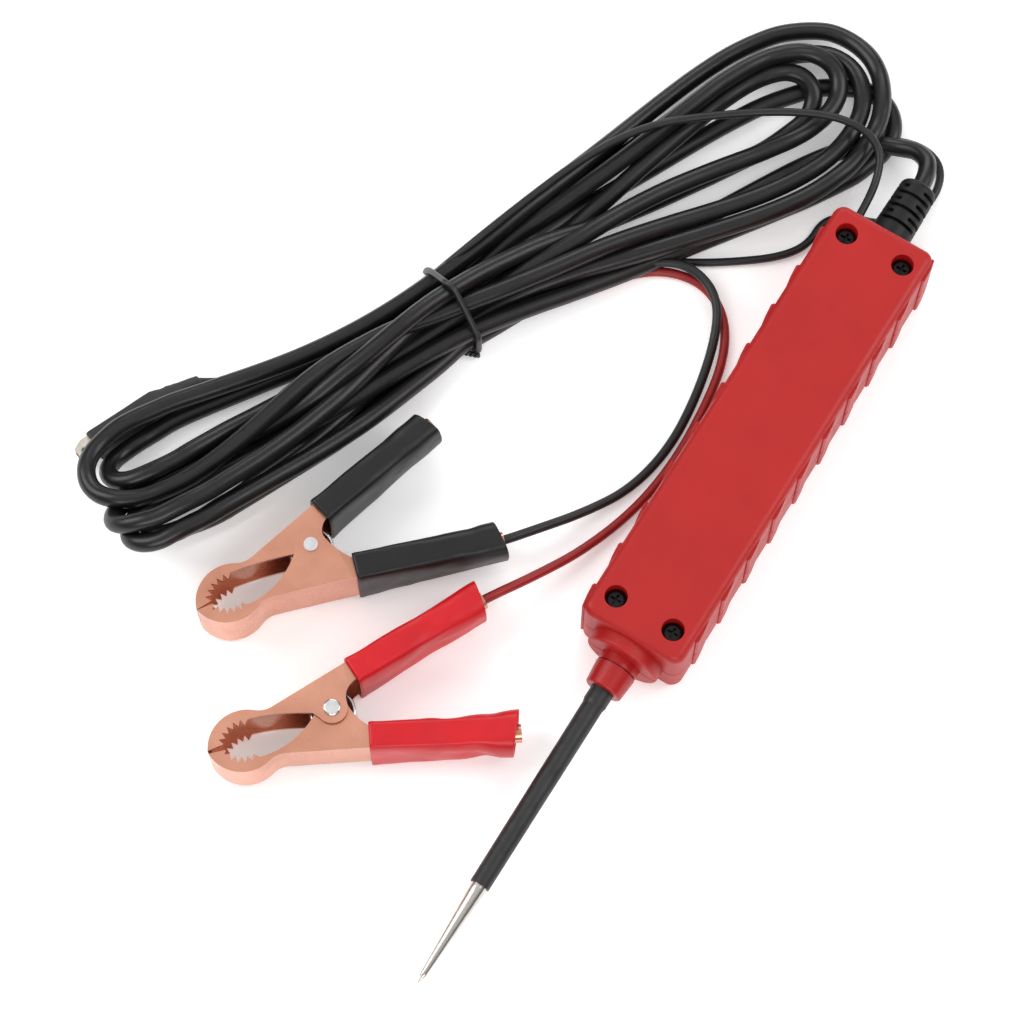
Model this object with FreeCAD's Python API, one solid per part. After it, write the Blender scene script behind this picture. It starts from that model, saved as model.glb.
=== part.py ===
import FreeCAD, Part
import math
import os

V = FreeCAD.Vector

# Powered circuit test light, millimetres. The tester lies on its front face: X runs from the
# cable end to the probe tip, Z is up, and the origin is under the middle of the tester.

# ---------------------------------------------------------------- tester, driving dimensions
TESTER_LENGTH = 240.0
STRAIN_LENGTH = 18.8
HOUSING_LENGTH = 125.0
HOUSING_WIDTH = 28.0
HOUSING_HEIGHT = 23.0
SEAM_Z = 10.8
WALL = 2.0
CORNER_RADIUS = 3.0
EDGE_RADIUS = 2.2
FIT = 0.05

REAR_X = STRAIN_LENGTH - TESTER_LENGTH / 2
NOSE_X = REAR_X + HOUSING_LENGTH
TIP_X = TESTER_LENGTH / 2
HALF_WIDTH = HOUSING_WIDTH / 2

SCREW_INSET_X = 7.0
SCREW_Y = 8.0
WELL_RADIUS = 2.85
WELL_DEPTH = 4.9
SCREW_HEAD_RADIUS = 2.55
SCREW_HEAD_HEIGHT = 2.1
SCREW_SHAFT_RADIUS = 1.4
SCREW_LENGTH = 14.0
BOSS_RADIUS = 4.3

RIDGE_COUNT = 10
RIDGE_PITCH = 12.2
RIDGE_LENGTH = 6.6
RIDGE_PROUD = 0.7
RIDGE_END_MARGIN = 7.6

FLANGE_RADIUS = 9.8
FLANGE_LENGTH = 3.3
COLLAR_LENGTH = 12.0
NECK_RADIUS = 5.2
COLLAR_RADIUS = 5.35
COLLAR_TIP_RADIUS = 4.8
PROBE_SLEEVE_RADIUS = 3.0
PROBE_SLEEVE_END_X = 92.3
PROBE_RADIUS = 2.1
PROBE_TIP_RADIUS = 0.9
PROBE_POINT_LENGTH = 2.6
SOCKET_RADIUS = 3.6
SOCKET_LENGTH = 13.0

STRAIN_BASE_RADIUS = 5.4
STRAIN_END_RADIUS = 4.9
STRAIN_NECK_RADIUS = 4.2
STRAIN_SLOT_PITCH = 2.05
STRAIN_SLOT_WIDTH = 1.0
STRAIN_SLOT_COUNT = 6
GROUND_LEAD_Y = -9.2

BOARD_THICKNESS = 1.6
BOARD_Z = 8.2
BOARD_HALF_WIDTH = 10.6
ROCKER_X = -38.0
ROCKER_LENGTH = 17.0
ROCKER_WIDTH = 8.0
ROCKER_AXIS_Z = 4.4
BUZZER_X = -74.0
BUZZER_RADIUS = 6.0
LED_X = -8.0
LED_SPACING = 7.0
LED_RADIUS = 1.5

# ---------------------------------------------------------------- cords, driving dimensions
MAIN_DIAMETER = 4.7
THIN_DIAMETER = 2.1
LEAD_DIAMETER = 2.4
HANK_HEIGHT = 11.5
TIE_WIRE_RADIUS = 0.75
TIE_CENTRE = (-31.4, -85.0)
TIE_ANGLE = -26.0
TIE_SPAN = 22.6

# ---------------------------------------------------------------- battery clamp, driving dimensions
SHEET = 0.9
JAW_HEIGHT = 15.6
JAW_FLOOR_GAP = 1.0
NEST_GAP = 0.2
JAW_TIP_X = 31.2
BULGE_CENTRE = (22.0, -1.9)
BULGE_RADIUS = 9.4
WAIST_RADIUS = 6.0
HANDLE_SLOPE = 14.3
HANDLE_OFFSET = 9.0
LEAD_HANDLE_END_X = -41.0
MOVING_HANDLE_END_X = -39.4
HANDLE_WIDTH = 5.2
HANDLE_TAPER = 0.10
HANDLE_TAPER_START_X = -6.0
TOOTH_COUNT = 6
TOOTH_ROOT_RADIUS = 7.1
TOOTH_TIP_RADIUS = 5.6
TOOTH_START = 19.0
TOOTH_PITCH = 15.0
EAR_RADIUS = 3.8
RIVET_RADIUS = 1.5
SPRING_COIL_RADIUS = 4.3
SPRING_WIRE_RADIUS = 0.5
SPRING_COILS = 6
SLEEVE_WALL = 0.85
LEAD_SLEEVE_START = 7.6
LEAD_SLEEVE_LENGTH = 34.4
MOVING_SLEEVE_START = 6.7
MOVING_SLEEVE_LENGTH = 33.0
CRIMP_RADIUS = 2.3
CRIMP_LENGTH = 4.6

# Position and heading of each clamp's middle line, then its rivet's offset from that line.
RED_CLAMP = (76.0, -51.9, -40.0, -0.4, 1.1)
BLACK_CLAMP = (44.5, -78.2, -30.0, -0.8, -1.5)

# ---------------------------------------------------------------- ground clip, driving dimensions
CLIP_POSITION = (37.2, -138.2, -22.0)
CLIP_TIP_X = 15.0
CLIP_HALF_WIDTH = 2.7
CLIP_HANDLE_X = -10.0
CLIP_SHEET = 0.5
CLIP_HEIGHT = 5.4
CLIP_MID_Z = 3.4
BOOT_FRONT_X = 10.4
BOOT_BACK_X = -11.0
BOOT_NECK_X = -21.0
BOOT_WIDTH = 6.4
BOOT_HEIGHT = 6.8
BOOT_WALL = 0.45

# ---------------------------------------------------------------- cord routes, chosen points
MAIN_TAIL = [(-120.0, 0.0, 10.8), (-126.0, -0.6, 10.0), (-129.5, -5.0, 7.3),
             (-129.3, -11.0, 4.8), (-126.5, -16.6, 3.4)]
GROUND_UPPER = [(-101.0, -9.2, 10.8), (-108.0, -9.4, 10.6), (-116.0, -10.4, 11.4), (-122.5, -13.2, 13.4),
                (-125.2, -20.0, 14.2), (-124.0, -29.0, 14.2), (-118.0, -41.0, 13.9),
                (-108.0, -55.0, 13.7), (-97.0, -67.5, 14.0), (-81.0, -76.6, 13.8),
                (-62.0, -84.0, 13.6), (-44.0, -90.4, 13.0), (-30.0, -97.0, 10.8)]
GROUND_LOWER = [(-128.6, -19.5, 1.6), (-132.6, -12.6, 1.3), (-134.4, -5.0, 1.1), (-131.5, 1.2, 1.1),
                (-124.0, 3.4, 1.1), (-115.5, 1.4, 1.1), (-109.6, -5.2, 1.1), (-107.6, -12.4, 1.1),
                (-103.2, -17.9, 1.1), (-95.2, -17.7, 1.1), (-88.5, -22.2, 1.1), (-81.4, -31.2, 1.1),
                (-75.2, -40.6, 1.1), (-69.8, -49.8, 1.6)]
GROUND_CLIP_LEAD = [(17.8, -130.4, 3.4), (13.6, -128.5, 3.0), (8.8, -125.0, 2.0), (5.2, -120.2, 1.4),
                    (2.4, -114.6, 1.4), (-1.4, -108.8, 1.4), (-6.6, -104.2, 1.4)]
BLACK_LEAD = [(-64.0, -53.6, 3.8), (-71.4, -46.8, 4.0), (-73.2, -37.8, 4.1), (-69.4, -29.4, 4.1),
              (-60.4, -24.6, 2.4), (-45.0, -20.9, 1.2), (-29.0, -19.5, 1.2), (-14.4, -22.4, 1.2),
              (-2.6, -29.2, 2.4), (7.4, -35.8, 5.8)]
RED_LEAD = [(-55.6, -58.8, 1.4), (-64.8, -52.2, 1.2), (-70.6, -43.8, 1.2), (-71.8, -34.2, 1.2),
            (-66.8, -25.4, 1.2), (-56.4, -19.8, 1.2), (-42.0, -17.4, 1.2), (-26.0, -16.6, 1.2),
            (-10.4, -18.6, 1.2), (5.4, -23.8, 2.4), (19.0, -30.5, 5.8)]
HANK_OUTLINE = [(62.5, -123.0), (63.0, -114.0), (57.5, -106.4), (44.0, -100.4), (26.0, -94.1),
                (8.0, -87.8), (-12.0, -80.0), (-27.0, -73.4), (-46.0, -62.3), (-65.6, -50.4),
                (-86.0, -35.8), (-101.0, -24.6), (-113.0, -18.2), (-122.6, -14.6), (-132.0, -14.0),
                (-141.5, -20.6), (-149.8, -28.4), (-152.0, -40.4), (-147.6, -51.1),
                (-135.0, -61.8), (-117.6, -69.7), (-99.0, -76.6), (-79.6, -82.9), (-60.0, -88.6),
                (-38.0, -96.6), (-16.0, -108.0), (2.0, -115.0), (17.0, -120.5), (30.0, -126.4),
                (44.0, -130.6), (55.0, -131.0)]


# ---------------------------------------------------------------- small helpers
def box(x0, x1, y0, y1, z0, z1):
    return Part.makeBox(x1 - x0, y1 - y0, z1 - z0, V(x0, y0, z0))


def rod(x0, x1, radius, y, z):
    return Part.makeCylinder(radius, x1 - x0, V(x0, y, z), V(1, 0, 0))


def cone(x0, x1, radius0, radius1, y, z):
    return Part.makeCone(radius0, radius1, x1 - x0, V(x0, y, z), V(1, 0, 0))


def post(x, y, radius, z0, z1):
    return Part.makeCylinder(radius, z1 - z0, V(x, y, z0))


def prism(points, z0, z1):
    corners = [V(x, y, z0) for x, y in points]
    face = Part.Face(Part.makePolygon(corners + corners[:1]))
    return face.extrude(V(0, 0, z1 - z0))


def rounded_block(x0, x1, y0, y1, z0, z1, radius):
    block = box(x0, x1, y0, y1, z0, z1)
    upright = [e for e in block.Edges if abs(e.Vertexes[0].Z - e.Vertexes[1].Z) > 1e-6]
    return block.makeFillet(radius, upright)


def fuse(shapes):
    joined = shapes[0]
    for shape in shapes[1:]:
        joined = joined.fuse(shape)
    return joined.removeSplitter()


def cut(shape, tools):
    for tool in tools:
        shape = shape.cut(tool)
    return shape


def save(name, shape):
    solids = shape.Solids
    if not shape.isValid():
        raise ValueError(name + " is not a valid shape")
    if min(s.Volume for s in solids) <= 0:
        raise ValueError(name + " holds an empty solid")
    result = solids[0] if len(solids) == 1 else Part.makeCompound(solids)
    result.exportStep("parts/" + name + ".step")


# ---------------------------------------------------------------- housing
def screw_positions():
    rear = REAR_X + SCREW_INSET_X
    nose = NOSE_X - SCREW_INSET_X
    return [(x, y) for x in (rear, nose) for y in (-SCREW_Y, SCREW_Y)]


def side_ridges(z0, z1):
    """Low grip pads: a soft step at one end of each pad, fading out towards the other."""
    pads = []
    for i in range(RIDGE_COUNT):
        step_x = NOSE_X - RIDGE_END_MARGIN - i * RIDGE_PITCH
        outline = [(step_x, HALF_WIDTH - 0.6), (step_x, HALF_WIDTH + 0.45 * RIDGE_PROUD),
                   (step_x + 0.6, HALF_WIDTH + RIDGE_PROUD),
                   (step_x + 0.55 * RIDGE_LENGTH, HALF_WIDTH + 0.65 * RIDGE_PROUD),
                   (step_x + RIDGE_LENGTH, HALF_WIDTH - 0.02), (step_x + RIDGE_LENGTH, HALF_WIDTH - 0.6)]
        left = [(x, -y) for x, y in outline]
        middle = (REAR_X + NOSE_X) / 2
        right = [(2 * middle - x, y) for x, y in outline]
        pads.append(prism(left, z0, z1))
        pads.append(prism(right, z0, z1))
    return pads


def housing_solid():
    body = rounded_block(REAR_X, NOSE_X, -HALF_WIDTH, HALF_WIDTH, 0, HOUSING_HEIGHT, CORNER_RADIUS)
    rims = [e for e in body.Edges if abs(e.Vertexes[0].Z - e.Vertexes[-1].Z) < 1e-6]
    body = body.makeFillet(EDGE_RADIUS, rims)
    flange = rod(NOSE_X - 1.0, NOSE_X + FLANGE_LENGTH, FLANGE_RADIUS, 0, SEAM_Z)
    flange = flange.makeFillet(0.8, [flange.Edges[0]])
    pads = side_ridges(EDGE_RADIUS * 0.8, HOUSING_HEIGHT - EDGE_RADIUS * 0.8)
    return fuse([body, flange] + pads)


def housing_cavity():
    return rounded_block(REAR_X + WALL, NOSE_X - WALL, WALL - HALF_WIDTH, HALF_WIDTH - WALL,
                         WALL, HOUSING_HEIGHT - WALL, CORNER_RADIUS - 1.0)


def seam_groove():
    """Fine groove that follows the parting line all round the case."""
    depth = 0.3
    ring = box(REAR_X - 5, NOSE_X + 9, -HALF_WIDTH - 5, HALF_WIDTH + 5, SEAM_Z - 0.18, SEAM_Z + 0.18)
    kept = rounded_block(REAR_X + depth, NOSE_X - depth, depth - HALF_WIDTH, HALF_WIDTH - depth,
                         0, HOUSING_HEIGHT, CORNER_RADIUS - depth)
    kept_flange = rod(NOSE_X - 1, NOSE_X + FLANGE_LENGTH - depth, FLANGE_RADIUS - depth, 0, SEAM_Z)
    return ring.cut(kept).cut(kept_flange)


def end_openings():
    """Bores through the end walls for the probe collar, strain relief and ground lead."""
    collar = rod(NOSE_X - WALL - 1, NOSE_X + FLANGE_LENGTH + 1, NECK_RADIUS + FIT, 0, SEAM_Z)
    strain = rod(REAR_X - 1, REAR_X + WALL + 1, STRAIN_NECK_RADIUS + FIT, 0, SEAM_Z)
    lead = rod(REAR_X - 1, REAR_X + WALL + 1, THIN_DIAMETER / 2 + FIT, GROUND_LEAD_Y, SEAM_Z)
    return [collar, strain, lead]


def housing_shell():
    shell = housing_solid().cut(housing_cavity())
    return cut(shell, end_openings() + [seam_groove()])


def back_cover(shell):
    upper = box(REAR_X - 5, NOSE_X + 9, -20, 20, SEAM_Z, HOUSING_HEIGHT + 1)
    cover = shell.common(upper)
    bosses = [post(x, y, BOSS_RADIUS, SEAM_Z, HOUSING_HEIGHT - WALL / 2) for x, y in screw_positions()]
    cover = fuse([cover] + bosses)
    seat = HOUSING_HEIGHT - WELL_DEPTH
    wells = [post(x, y, WELL_RADIUS, seat, HOUSING_HEIGHT + 1) for x, y in screw_positions()]
    holes = [post(x, y, SCREW_SHAFT_RADIUS + FIT, SEAM_Z - 1, seat + 1) for x, y in screw_positions()]
    return cut(cover, wells + holes)


def rocker_opening():
    half_length = ROCKER_LENGTH / 2 + 0.7
    half_width = ROCKER_WIDTH / 2 + 0.4
    hole = rounded_block(ROCKER_X - half_length, ROCKER_X + half_length, -half_width, half_width,
                         -1, WALL + 1, 1.0)
    dish = Part.makeSphere(60, V(ROCKER_X, 0, -59.2))
    return [hole, dish.common(box(ROCKER_X - 30, ROCKER_X + 30, -9, 9, -1, WALL))]


def sound_slots():
    slots = []
    for i in range(-2, 3):
        x = BUZZER_X + 2.4 * i
        half = 5.0 - 0.8 * abs(i)
        slots.append(rounded_block(x - 0.6, x + 0.6, -half, half, -1, WALL + 1, 0.5))
    return slots


def board_posts():
    xs = (BUZZER_X - 10.0, ROCKER_X - 14.0, ROCKER_X + 14.0, LED_X + 8.0)
    return [post(x, y, 1.8, WALL / 2, BOARD_Z) for x in xs for y in (-8.6, 8.6)]


def front_cover(shell):
    lower = box(REAR_X - 5, NOSE_X + 9, -20, 20, -1, SEAM_Z)
    cover = shell.common(lower)
    bosses = [post(x, y, BOSS_RADIUS - 0.6, WALL / 2, SEAM_Z) for x, y in screw_positions()]
    cover = fuse([cover] + bosses + board_posts())
    bottom = HOUSING_HEIGHT - WELL_DEPTH - SCREW_LENGTH
    bores = [post(x, y, SCREW_SHAFT_RADIUS + FIT, bottom - 0.3, SEAM_Z + 1) for x, y in screw_positions()]
    leds = [post(LED_X, y, LED_RADIUS + FIT, -1, WALL + 1) for y in led_rows()]
    return cut(cover, bores + leds + rocker_opening() + sound_slots())


def cover_screws():
    seat = HOUSING_HEIGHT - WELL_DEPTH
    screws = []
    for x, y in screw_positions():
        head = post(x, y, SCREW_HEAD_RADIUS, seat, seat + SCREW_HEAD_HEIGHT)
        head = head.makeFillet(0.8, [head.Edges[0]])
        shaft = post(x, y, SCREW_SHAFT_RADIUS, seat - SCREW_LENGTH, seat + 0.5)
        top = seat + SCREW_HEAD_HEIGHT
        recess = fuse([box(x - 1.4, x + 1.4, y - 0.32, y + 0.32, top - 1.1, top + 1),
                       box(x - 0.32, x + 0.32, y - 1.4, y + 1.4, top - 1.1, top + 1)])
        screws.append(fuse([head, shaft]).cut(recess))
    return Part.makeCompound(screws)


# ---------------------------------------------------------------- probe
def probe_collar():
    front = NOSE_X + COLLAR_LENGTH
    rim_x = NOSE_X + FLANGE_LENGTH
    groove_x = rim_x + 2.2
    retainer = rod(NOSE_X - WALL - 0.9, NOSE_X - WALL - 0.02, 6.4, 0, SEAM_Z)
    neck = rod(NOSE_X - WALL - 1.0, groove_x, NECK_RADIUS, 0, SEAM_Z)
    groove = rod(groove_x, groove_x + 0.5, NECK_RADIUS - 0.5, 0, SEAM_Z)
    barrel = cone(groove_x + 0.5, front, COLLAR_RADIUS, COLLAR_TIP_RADIUS, 0, SEAM_Z)
    barrel = barrel.makeFillet(0.6, [e for e in barrel.Edges if abs(e.CenterOfMass.x - front) < 1e-3])
    bore = rod(NOSE_X - WALL - 3, front + 1, PROBE_SLEEVE_RADIUS + FIT, 0, SEAM_Z)
    return fuse([retainer, neck, groove, barrel]).cut(bore)


def probe_sleeve():
    start = NOSE_X + 2.0
    step = NOSE_X + COLLAR_LENGTH + 4.6
    wide = rod(start, step - 1.0, PROBE_SLEEVE_RADIUS, 0, SEAM_Z)
    shoulder = cone(step - 1.0, step, PROBE_SLEEVE_RADIUS, 2.72, 0, SEAM_Z)
    slim = cone(step, PROBE_SLEEVE_END_X, 2.72, 2.55, 0, SEAM_Z)
    bore = rod(start - 1, PROBE_SLEEVE_END_X + 1, PROBE_RADIUS + FIT, 0, SEAM_Z)
    return fuse([wide, shoulder, slim]).cut(bore)


def probe_rod():
    inner = NOSE_X - WALL - 12.0
    base = PROBE_SLEEVE_END_X + 0.8
    point = TIP_X - PROBE_POINT_LENGTH
    shank = rod(inner, base, PROBE_RADIUS, 0, SEAM_Z)
    taper = cone(base, point, PROBE_RADIUS, PROBE_TIP_RADIUS, 0, SEAM_Z)
    needle = cone(point, TIP_X, PROBE_TIP_RADIUS, 0.08, 0, SEAM_Z)
    return fuse([shank, taper, needle])


def probe_socket():
    back = NOSE_X - WALL - 2.4 - SOCKET_LENGTH
    barrel = rod(back, back + SOCKET_LENGTH, SOCKET_RADIUS, 0, SEAM_Z)
    bore = rod(NOSE_X - WALL - 12.0, back + SOCKET_LENGTH + 1, PROBE_RADIUS + FIT, 0, SEAM_Z)
    solder_lug = box(back - 3.0, back + 0.5, -1.5, 1.5, SEAM_Z - 0.4, SEAM_Z + 0.4)
    return fuse([barrel, solder_lug]).cut(bore)


# ---------------------------------------------------------------- rear end
def strain_slot(x, turned):
    """A pair of opposed slots round the strain relief, with two webs left between them."""
    ring = rod(x, x + STRAIN_SLOT_WIDTH, 9.0, 0, SEAM_Z)
    ring = ring.cut(rod(x - 1, x + STRAIN_SLOT_WIDTH + 1, 3.7, 0, SEAM_Z))
    web = 2.1
    if turned:
        bridge = box(x - 1, x + 2, -web, web, SEAM_Z - 12, SEAM_Z + 12)
    else:
        bridge = box(x - 1, x + 2, -12, 12, SEAM_Z - web, SEAM_Z + web)
    return ring.cut(bridge)


def strain_relief():
    tail = REAR_X - STRAIN_LENGTH
    body = cone(tail, REAR_X - 0.02, STRAIN_END_RADIUS, STRAIN_BASE_RADIUS, 0, SEAM_Z)
    body = body.makeFillet(1.8, [e for e in body.Edges if abs(e.CenterOfMass.x - tail) < 1e-3])
    neck = rod(REAR_X - 0.5, REAR_X + WALL + 0.8, STRAIN_NECK_RADIUS, 0, SEAM_Z)
    flange = rod(REAR_X + WALL + 0.05, REAR_X + WALL + 0.8, 4.9, 0, SEAM_Z)
    slots = [strain_slot(tail + 2.4 + i * STRAIN_SLOT_PITCH, i % 2 == 0) for i in range(STRAIN_SLOT_COUNT)]
    return cut(fuse([body, neck, flange]), slots)


# ---------------------------------------------------------------- electronics
def board_span():
    return REAR_X + 14.0, NOSE_X - 20.0


def circuit_board():
    rear, nose = board_span()
    board = rounded_block(rear, nose, -BOARD_HALF_WIDTH, BOARD_HALF_WIDTH, BOARD_Z,
                          BOARD_Z + BOARD_THICKNESS, 1.0)
    pins = [post(ROCKER_X + dx, 0, 0.6, BOARD_Z - 1, BOARD_Z + 3) for dx in (-6.0, 0.0, 6.0)]
    leds = [post(LED_X + dx, y, 0.35, BOARD_Z - 1, BOARD_Z + 3) for dx in (-1.27, 1.27) for y in led_rows()]
    return cut(board, pins + leds)


def led_rows():
    return (-LED_SPACING / 2, LED_SPACING / 2)


def indicator_led(y):
    """Round indicator: domed lens in the front cover, flange behind it and two leads."""
    lens = post(LED_X, y, LED_RADIUS, 0.4, 5.2)
    lens = lens.makeFillet(1.0, [e for e in lens.Edges if abs(e.CenterOfMass.z - 0.4) < 1e-3])
    flange = post(LED_X, y, LED_RADIUS + 0.4, WALL + 0.4, WALL + 1.3)
    leads = [post(LED_X + dx, y, 0.28, 5.0, BOARD_Z + BOARD_THICKNESS + 0.6) for dx in (-1.27, 1.27)]
    return fuse([lens, flange] + leads)


def rocker_base():
    """Switch case on the board side: an open box that carries the rocker's pin."""
    half_length = ROCKER_LENGTH / 2 + 2.0
    half_width = ROCKER_WIDTH / 2 + 2.2
    case = rounded_block(ROCKER_X - half_length, ROCKER_X + half_length, -half_width, half_width,
                         WALL + 0.05, BOARD_Z - 0.05, 1.0)
    room = rounded_block(ROCKER_X - half_length + 1, ROCKER_X + half_length - 1, 1.2 - half_width,
                         half_width - 1.2, WALL - 1, BOARD_Z - 1.2, 0.8)
    bore = Part.makeCylinder(0.8 + FIT, 20, V(ROCKER_X, -10, ROCKER_AXIS_Z), V(0, 1, 0))
    pins = [post(ROCKER_X + dx, 0, 0.55, BOARD_Z - 0.6, BOARD_Z + BOARD_THICKNESS + 0.8)
            for dx in (-6.0, 0.0, 6.0)]
    return fuse([case.cut(room)] + pins).cut(bore)


def rocker_button():
    """Rocker with a shallow V face, held inside the front cover's dish."""
    half_length = ROCKER_LENGTH / 2
    half_width = ROCKER_WIDTH / 2
    face = [(ROCKER_X - half_length, 1.45), (ROCKER_X, 2.1), (ROCKER_X + half_length, 1.45),
            (ROCKER_X + half_length, 3.2), (ROCKER_X + 4.0, 5.4), (ROCKER_X - 4.0, 5.4),
            (ROCKER_X - half_length, 3.2)]
    corners = [V(x, -half_width, z) for x, z in face]
    block = Part.Face(Part.makePolygon(corners + corners[:1])).extrude(V(0, ROCKER_WIDTH, 0))
    grips = [Part.makeCylinder(0.35, ROCKER_WIDTH - 1.6, V(ROCKER_X + s * (5.0 + 1.1 * i), 0.8 - half_width,
                                                         1.72 - 0.075 * (1.1 * i)), V(0, 1, 0))
             for s in (-1, 1) for i in range(3)]
    bore = Part.makeCylinder(0.8 + FIT, 20, V(ROCKER_X, -10, ROCKER_AXIS_Z), V(0, 1, 0))
    return cut(block, grips + [bore])


def rocker_pin():
    half = ROCKER_WIDTH / 2 + 2.1
    return Part.makeCylinder(0.8, 2 * half, V(ROCKER_X, -half, ROCKER_AXIS_Z), V(0, 1, 0))


def rocker_spring():
    """Bowed leaf that bears on the rocker's two shoulders and brings it back to the middle."""
    top = BOARD_Z - 1.25
    low = 5.55
    middle = V(ROCKER_X, -1.5, low)
    ends = [V(ROCKER_X + s * 6.0, -1.5, top - 0.3) for s in (-1, 1)]
    lift = V(0, 0, 0.3)
    edges = [Part.Arc(ends[0], middle, ends[1]).toShape(),
             Part.LineSegment(ends[1], ends[1] + lift).toShape(),
             Part.Arc(ends[1] + lift, middle + lift, ends[0] + lift).toShape(),
             Part.LineSegment(ends[0] + lift, ends[0]).toShape()]
    return Part.Face(Part.Wire(edges)).extrude(V(0, 3.0, 0))


def buzzer():
    can = post(BUZZER_X, 0, BUZZER_RADIUS, WALL + 0.3, BOARD_Z - 0.05)
    vent = post(BUZZER_X, 0, 1.0, WALL - 1, WALL + 2.5)
    return can.cut(vent)


def on_board():
    return BOARD_Z + BOARD_THICKNESS + 0.02


def capacitor():
    return Part.makeCylinder(3.2, 8.0, V(-60.0, -3.0, on_board() + 3.25), V(1, 0, 0))


def power_transistors():
    cases = []
    for x in (-31.0, -20.0):
        slab = box(x, x + 9.0, -7.0, 3.2, on_board(), on_board() + 4.4)
        tab = box(x + 0.6, x + 8.4, 3.0, 8.4, on_board(), on_board() + 1.3)
        cases.append(fuse([slab, tab]).cut(post(x + 4.5, 6.2, 1.8, on_board() - 1, on_board() + 3)))
    return Part.makeCompound(cases)


def control_chips():
    places = ((-76.0, 1.0, 7.8, 6.0), (-45.0, -6.0, 5.0, 4.0), (-45.0, 2.0, 5.0, 4.0))
    return Part.makeCompound([box(x, x + dx, y, y + dy, on_board(), on_board() + 1.6)
                              for x, y, dx, dy in places])


def resettable_fuse():
    return box(-5.6, -1.0, -6.5, 6.5, on_board(), on_board() + 7.6)


def inner_wires():
    """Soldered wires: probe socket to the board, and three from the cables to the board."""
    rear, nose = board_span()
    back = NOSE_X - WALL - 2.4 - SOCKET_LENGTH
    z = on_board() + 0.8
    probe = rod(nose - 4.4, back - 3.05, 0.75, 0, z)
    plus = rod(REAR_X + WALL + 0.82, rear + 6.0, 0.75, -1.2, z)
    minus = rod(REAR_X + WALL + 0.82, rear + 6.0, 0.75, 2.0, z)
    bend_x = REAR_X + WALL + 0.35
    ground = swept([(bend_x, GROUND_LEAD_Y, z), (bend_x, -5.75, z), (bend_x + 2.1, -3.2, z),
                    (rear + 6.0, -3.2, z)], 0.5)[0]
    return Part.makeCompound([probe, plus, minus, ground])


# ---------------------------------------------------------------- cords
def round_route(points):
    """Straight runs joined by tangent arcs, each as large as its two runs allow."""
    pts = [V(*p) for p in points]
    edges = []
    radii = []
    start = pts[0]
    for i in range(1, len(pts) - 1):
        before = pts[i] - pts[i - 1]
        after = pts[i + 1] - pts[i]
        turn = before.getAngle(after)
        reach = 0.45 * min(before.Length, after.Length)
        radii.append(reach / math.tan(turn / 2))
        entry = pts[i] - before.normalize() * reach
        leave = pts[i] + after.normalize() * reach
        inward = (entry + leave) * 0.5 - pts[i]
        to_arc = radii[-1] / math.cos(turn / 2) - radii[-1]
        middle = pts[i] + inward.normalize() * to_arc
        edges.append(Part.LineSegment(start, entry).toShape())
        edges.append(Part.Arc(entry, middle, leave).toShape())
        start = leave
    edges.append(Part.LineSegment(start, pts[-1]).toShape())
    return Part.Wire(edges), radii


def swept(points, diameter):
    path, radii = round_route(points)
    first = V(*points[0])
    heading = V(*points[1]) - first
    section = Part.Wire(Part.makeCircle(diameter / 2, first, heading))
    return path.makePipeShell([section], True, False), path, radii


def cord_tube(name, points, diameter):
    tube, path, radii = swept(points, diameter)
    expected = math.pi * diameter ** 2 / 4 * path.Length
    listed = ", ".join("%.1f" % r for r in radii)
    print("%s: length %.1f, volume %.3f of expected, radii %s (diameter %.1f)"
          % (name, path.Length, tube.Volume / expected, listed, diameter))
    return tube


def tie_frame(shape):
    shape.rotate(V(0, 0, 0), V(0, 0, 1), TIE_ANGLE)
    shape.translate(V(TIE_CENTRE[0], TIE_CENTRE[1], 0))
    return shape


def cable_hank():
    """Outer shape of the folded main cable, with a belt groove for the tie."""
    outline = Part.BSplineCurve()
    outline.interpolate([V(x, y, 0) for x, y in HANK_OUTLINE], True)
    slab = Part.Face(Part.Wire([outline.toShape()])).extrude(V(0, 0, HANK_HEIGHT))
    belt = tie_frame(box(-1.2, 1.2, -20, 20, -1, HANK_HEIGHT + 1))
    inner = TIE_SPAN / 2 - 2 * TIE_WIRE_RADIUS - 0.1
    core = tie_frame(box(-3, 3, -inner, inner, 2 * TIE_WIRE_RADIUS + 0.1, HANK_HEIGHT - 0.6))
    return slab.cut(belt.cut(core))


def twist_tie():
    """Coated wire ring round the hank, with its twisted tail."""
    radius = 3.0
    y = TIE_SPAN / 2 - TIE_WIRE_RADIUS
    low = TIE_WIRE_RADIUS
    high = HANK_HEIGHT + 0.35
    k = radius * (1 - math.sqrt(0.5))
    corners = [(-y, low, 1, 1), (y, low, -1, 1), (y, high, -1, -1), (-y, high, 1, -1)]
    edges = []
    for i, (cy, cz, sy, sz) in enumerate(corners):
        along_y = V(0, cy + sy * radius, cz)
        along_z = V(0, cy, cz + sz * radius)
        middle = V(0, cy + sy * k, cz + sz * k)
        entry, leave = (along_z, along_y) if i % 2 == 0 else (along_y, along_z)
        edges.append((entry, middle, leave))
    wire = []
    for i, (entry, middle, leave) in enumerate(edges):
        wire.append(Part.Arc(entry, middle, leave).toShape())
        wire.append(Part.LineSegment(leave, edges[(i + 1) % 4][0]).toShape())
    path = Part.Wire(Part.__sortEdges__(wire))
    start = edges[0][2]
    section = Part.Wire(Part.makeCircle(TIE_WIRE_RADIUS, start, V(0, 1, 0)))
    ring = path.makePipeShell([section], True, False)
    tail = Part.makeCylinder(0.6, 5.0, V(0, y, 3.2), V(0.86, 0.35, -0.35))
    return tie_frame(fuse([ring, tail]))


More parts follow.
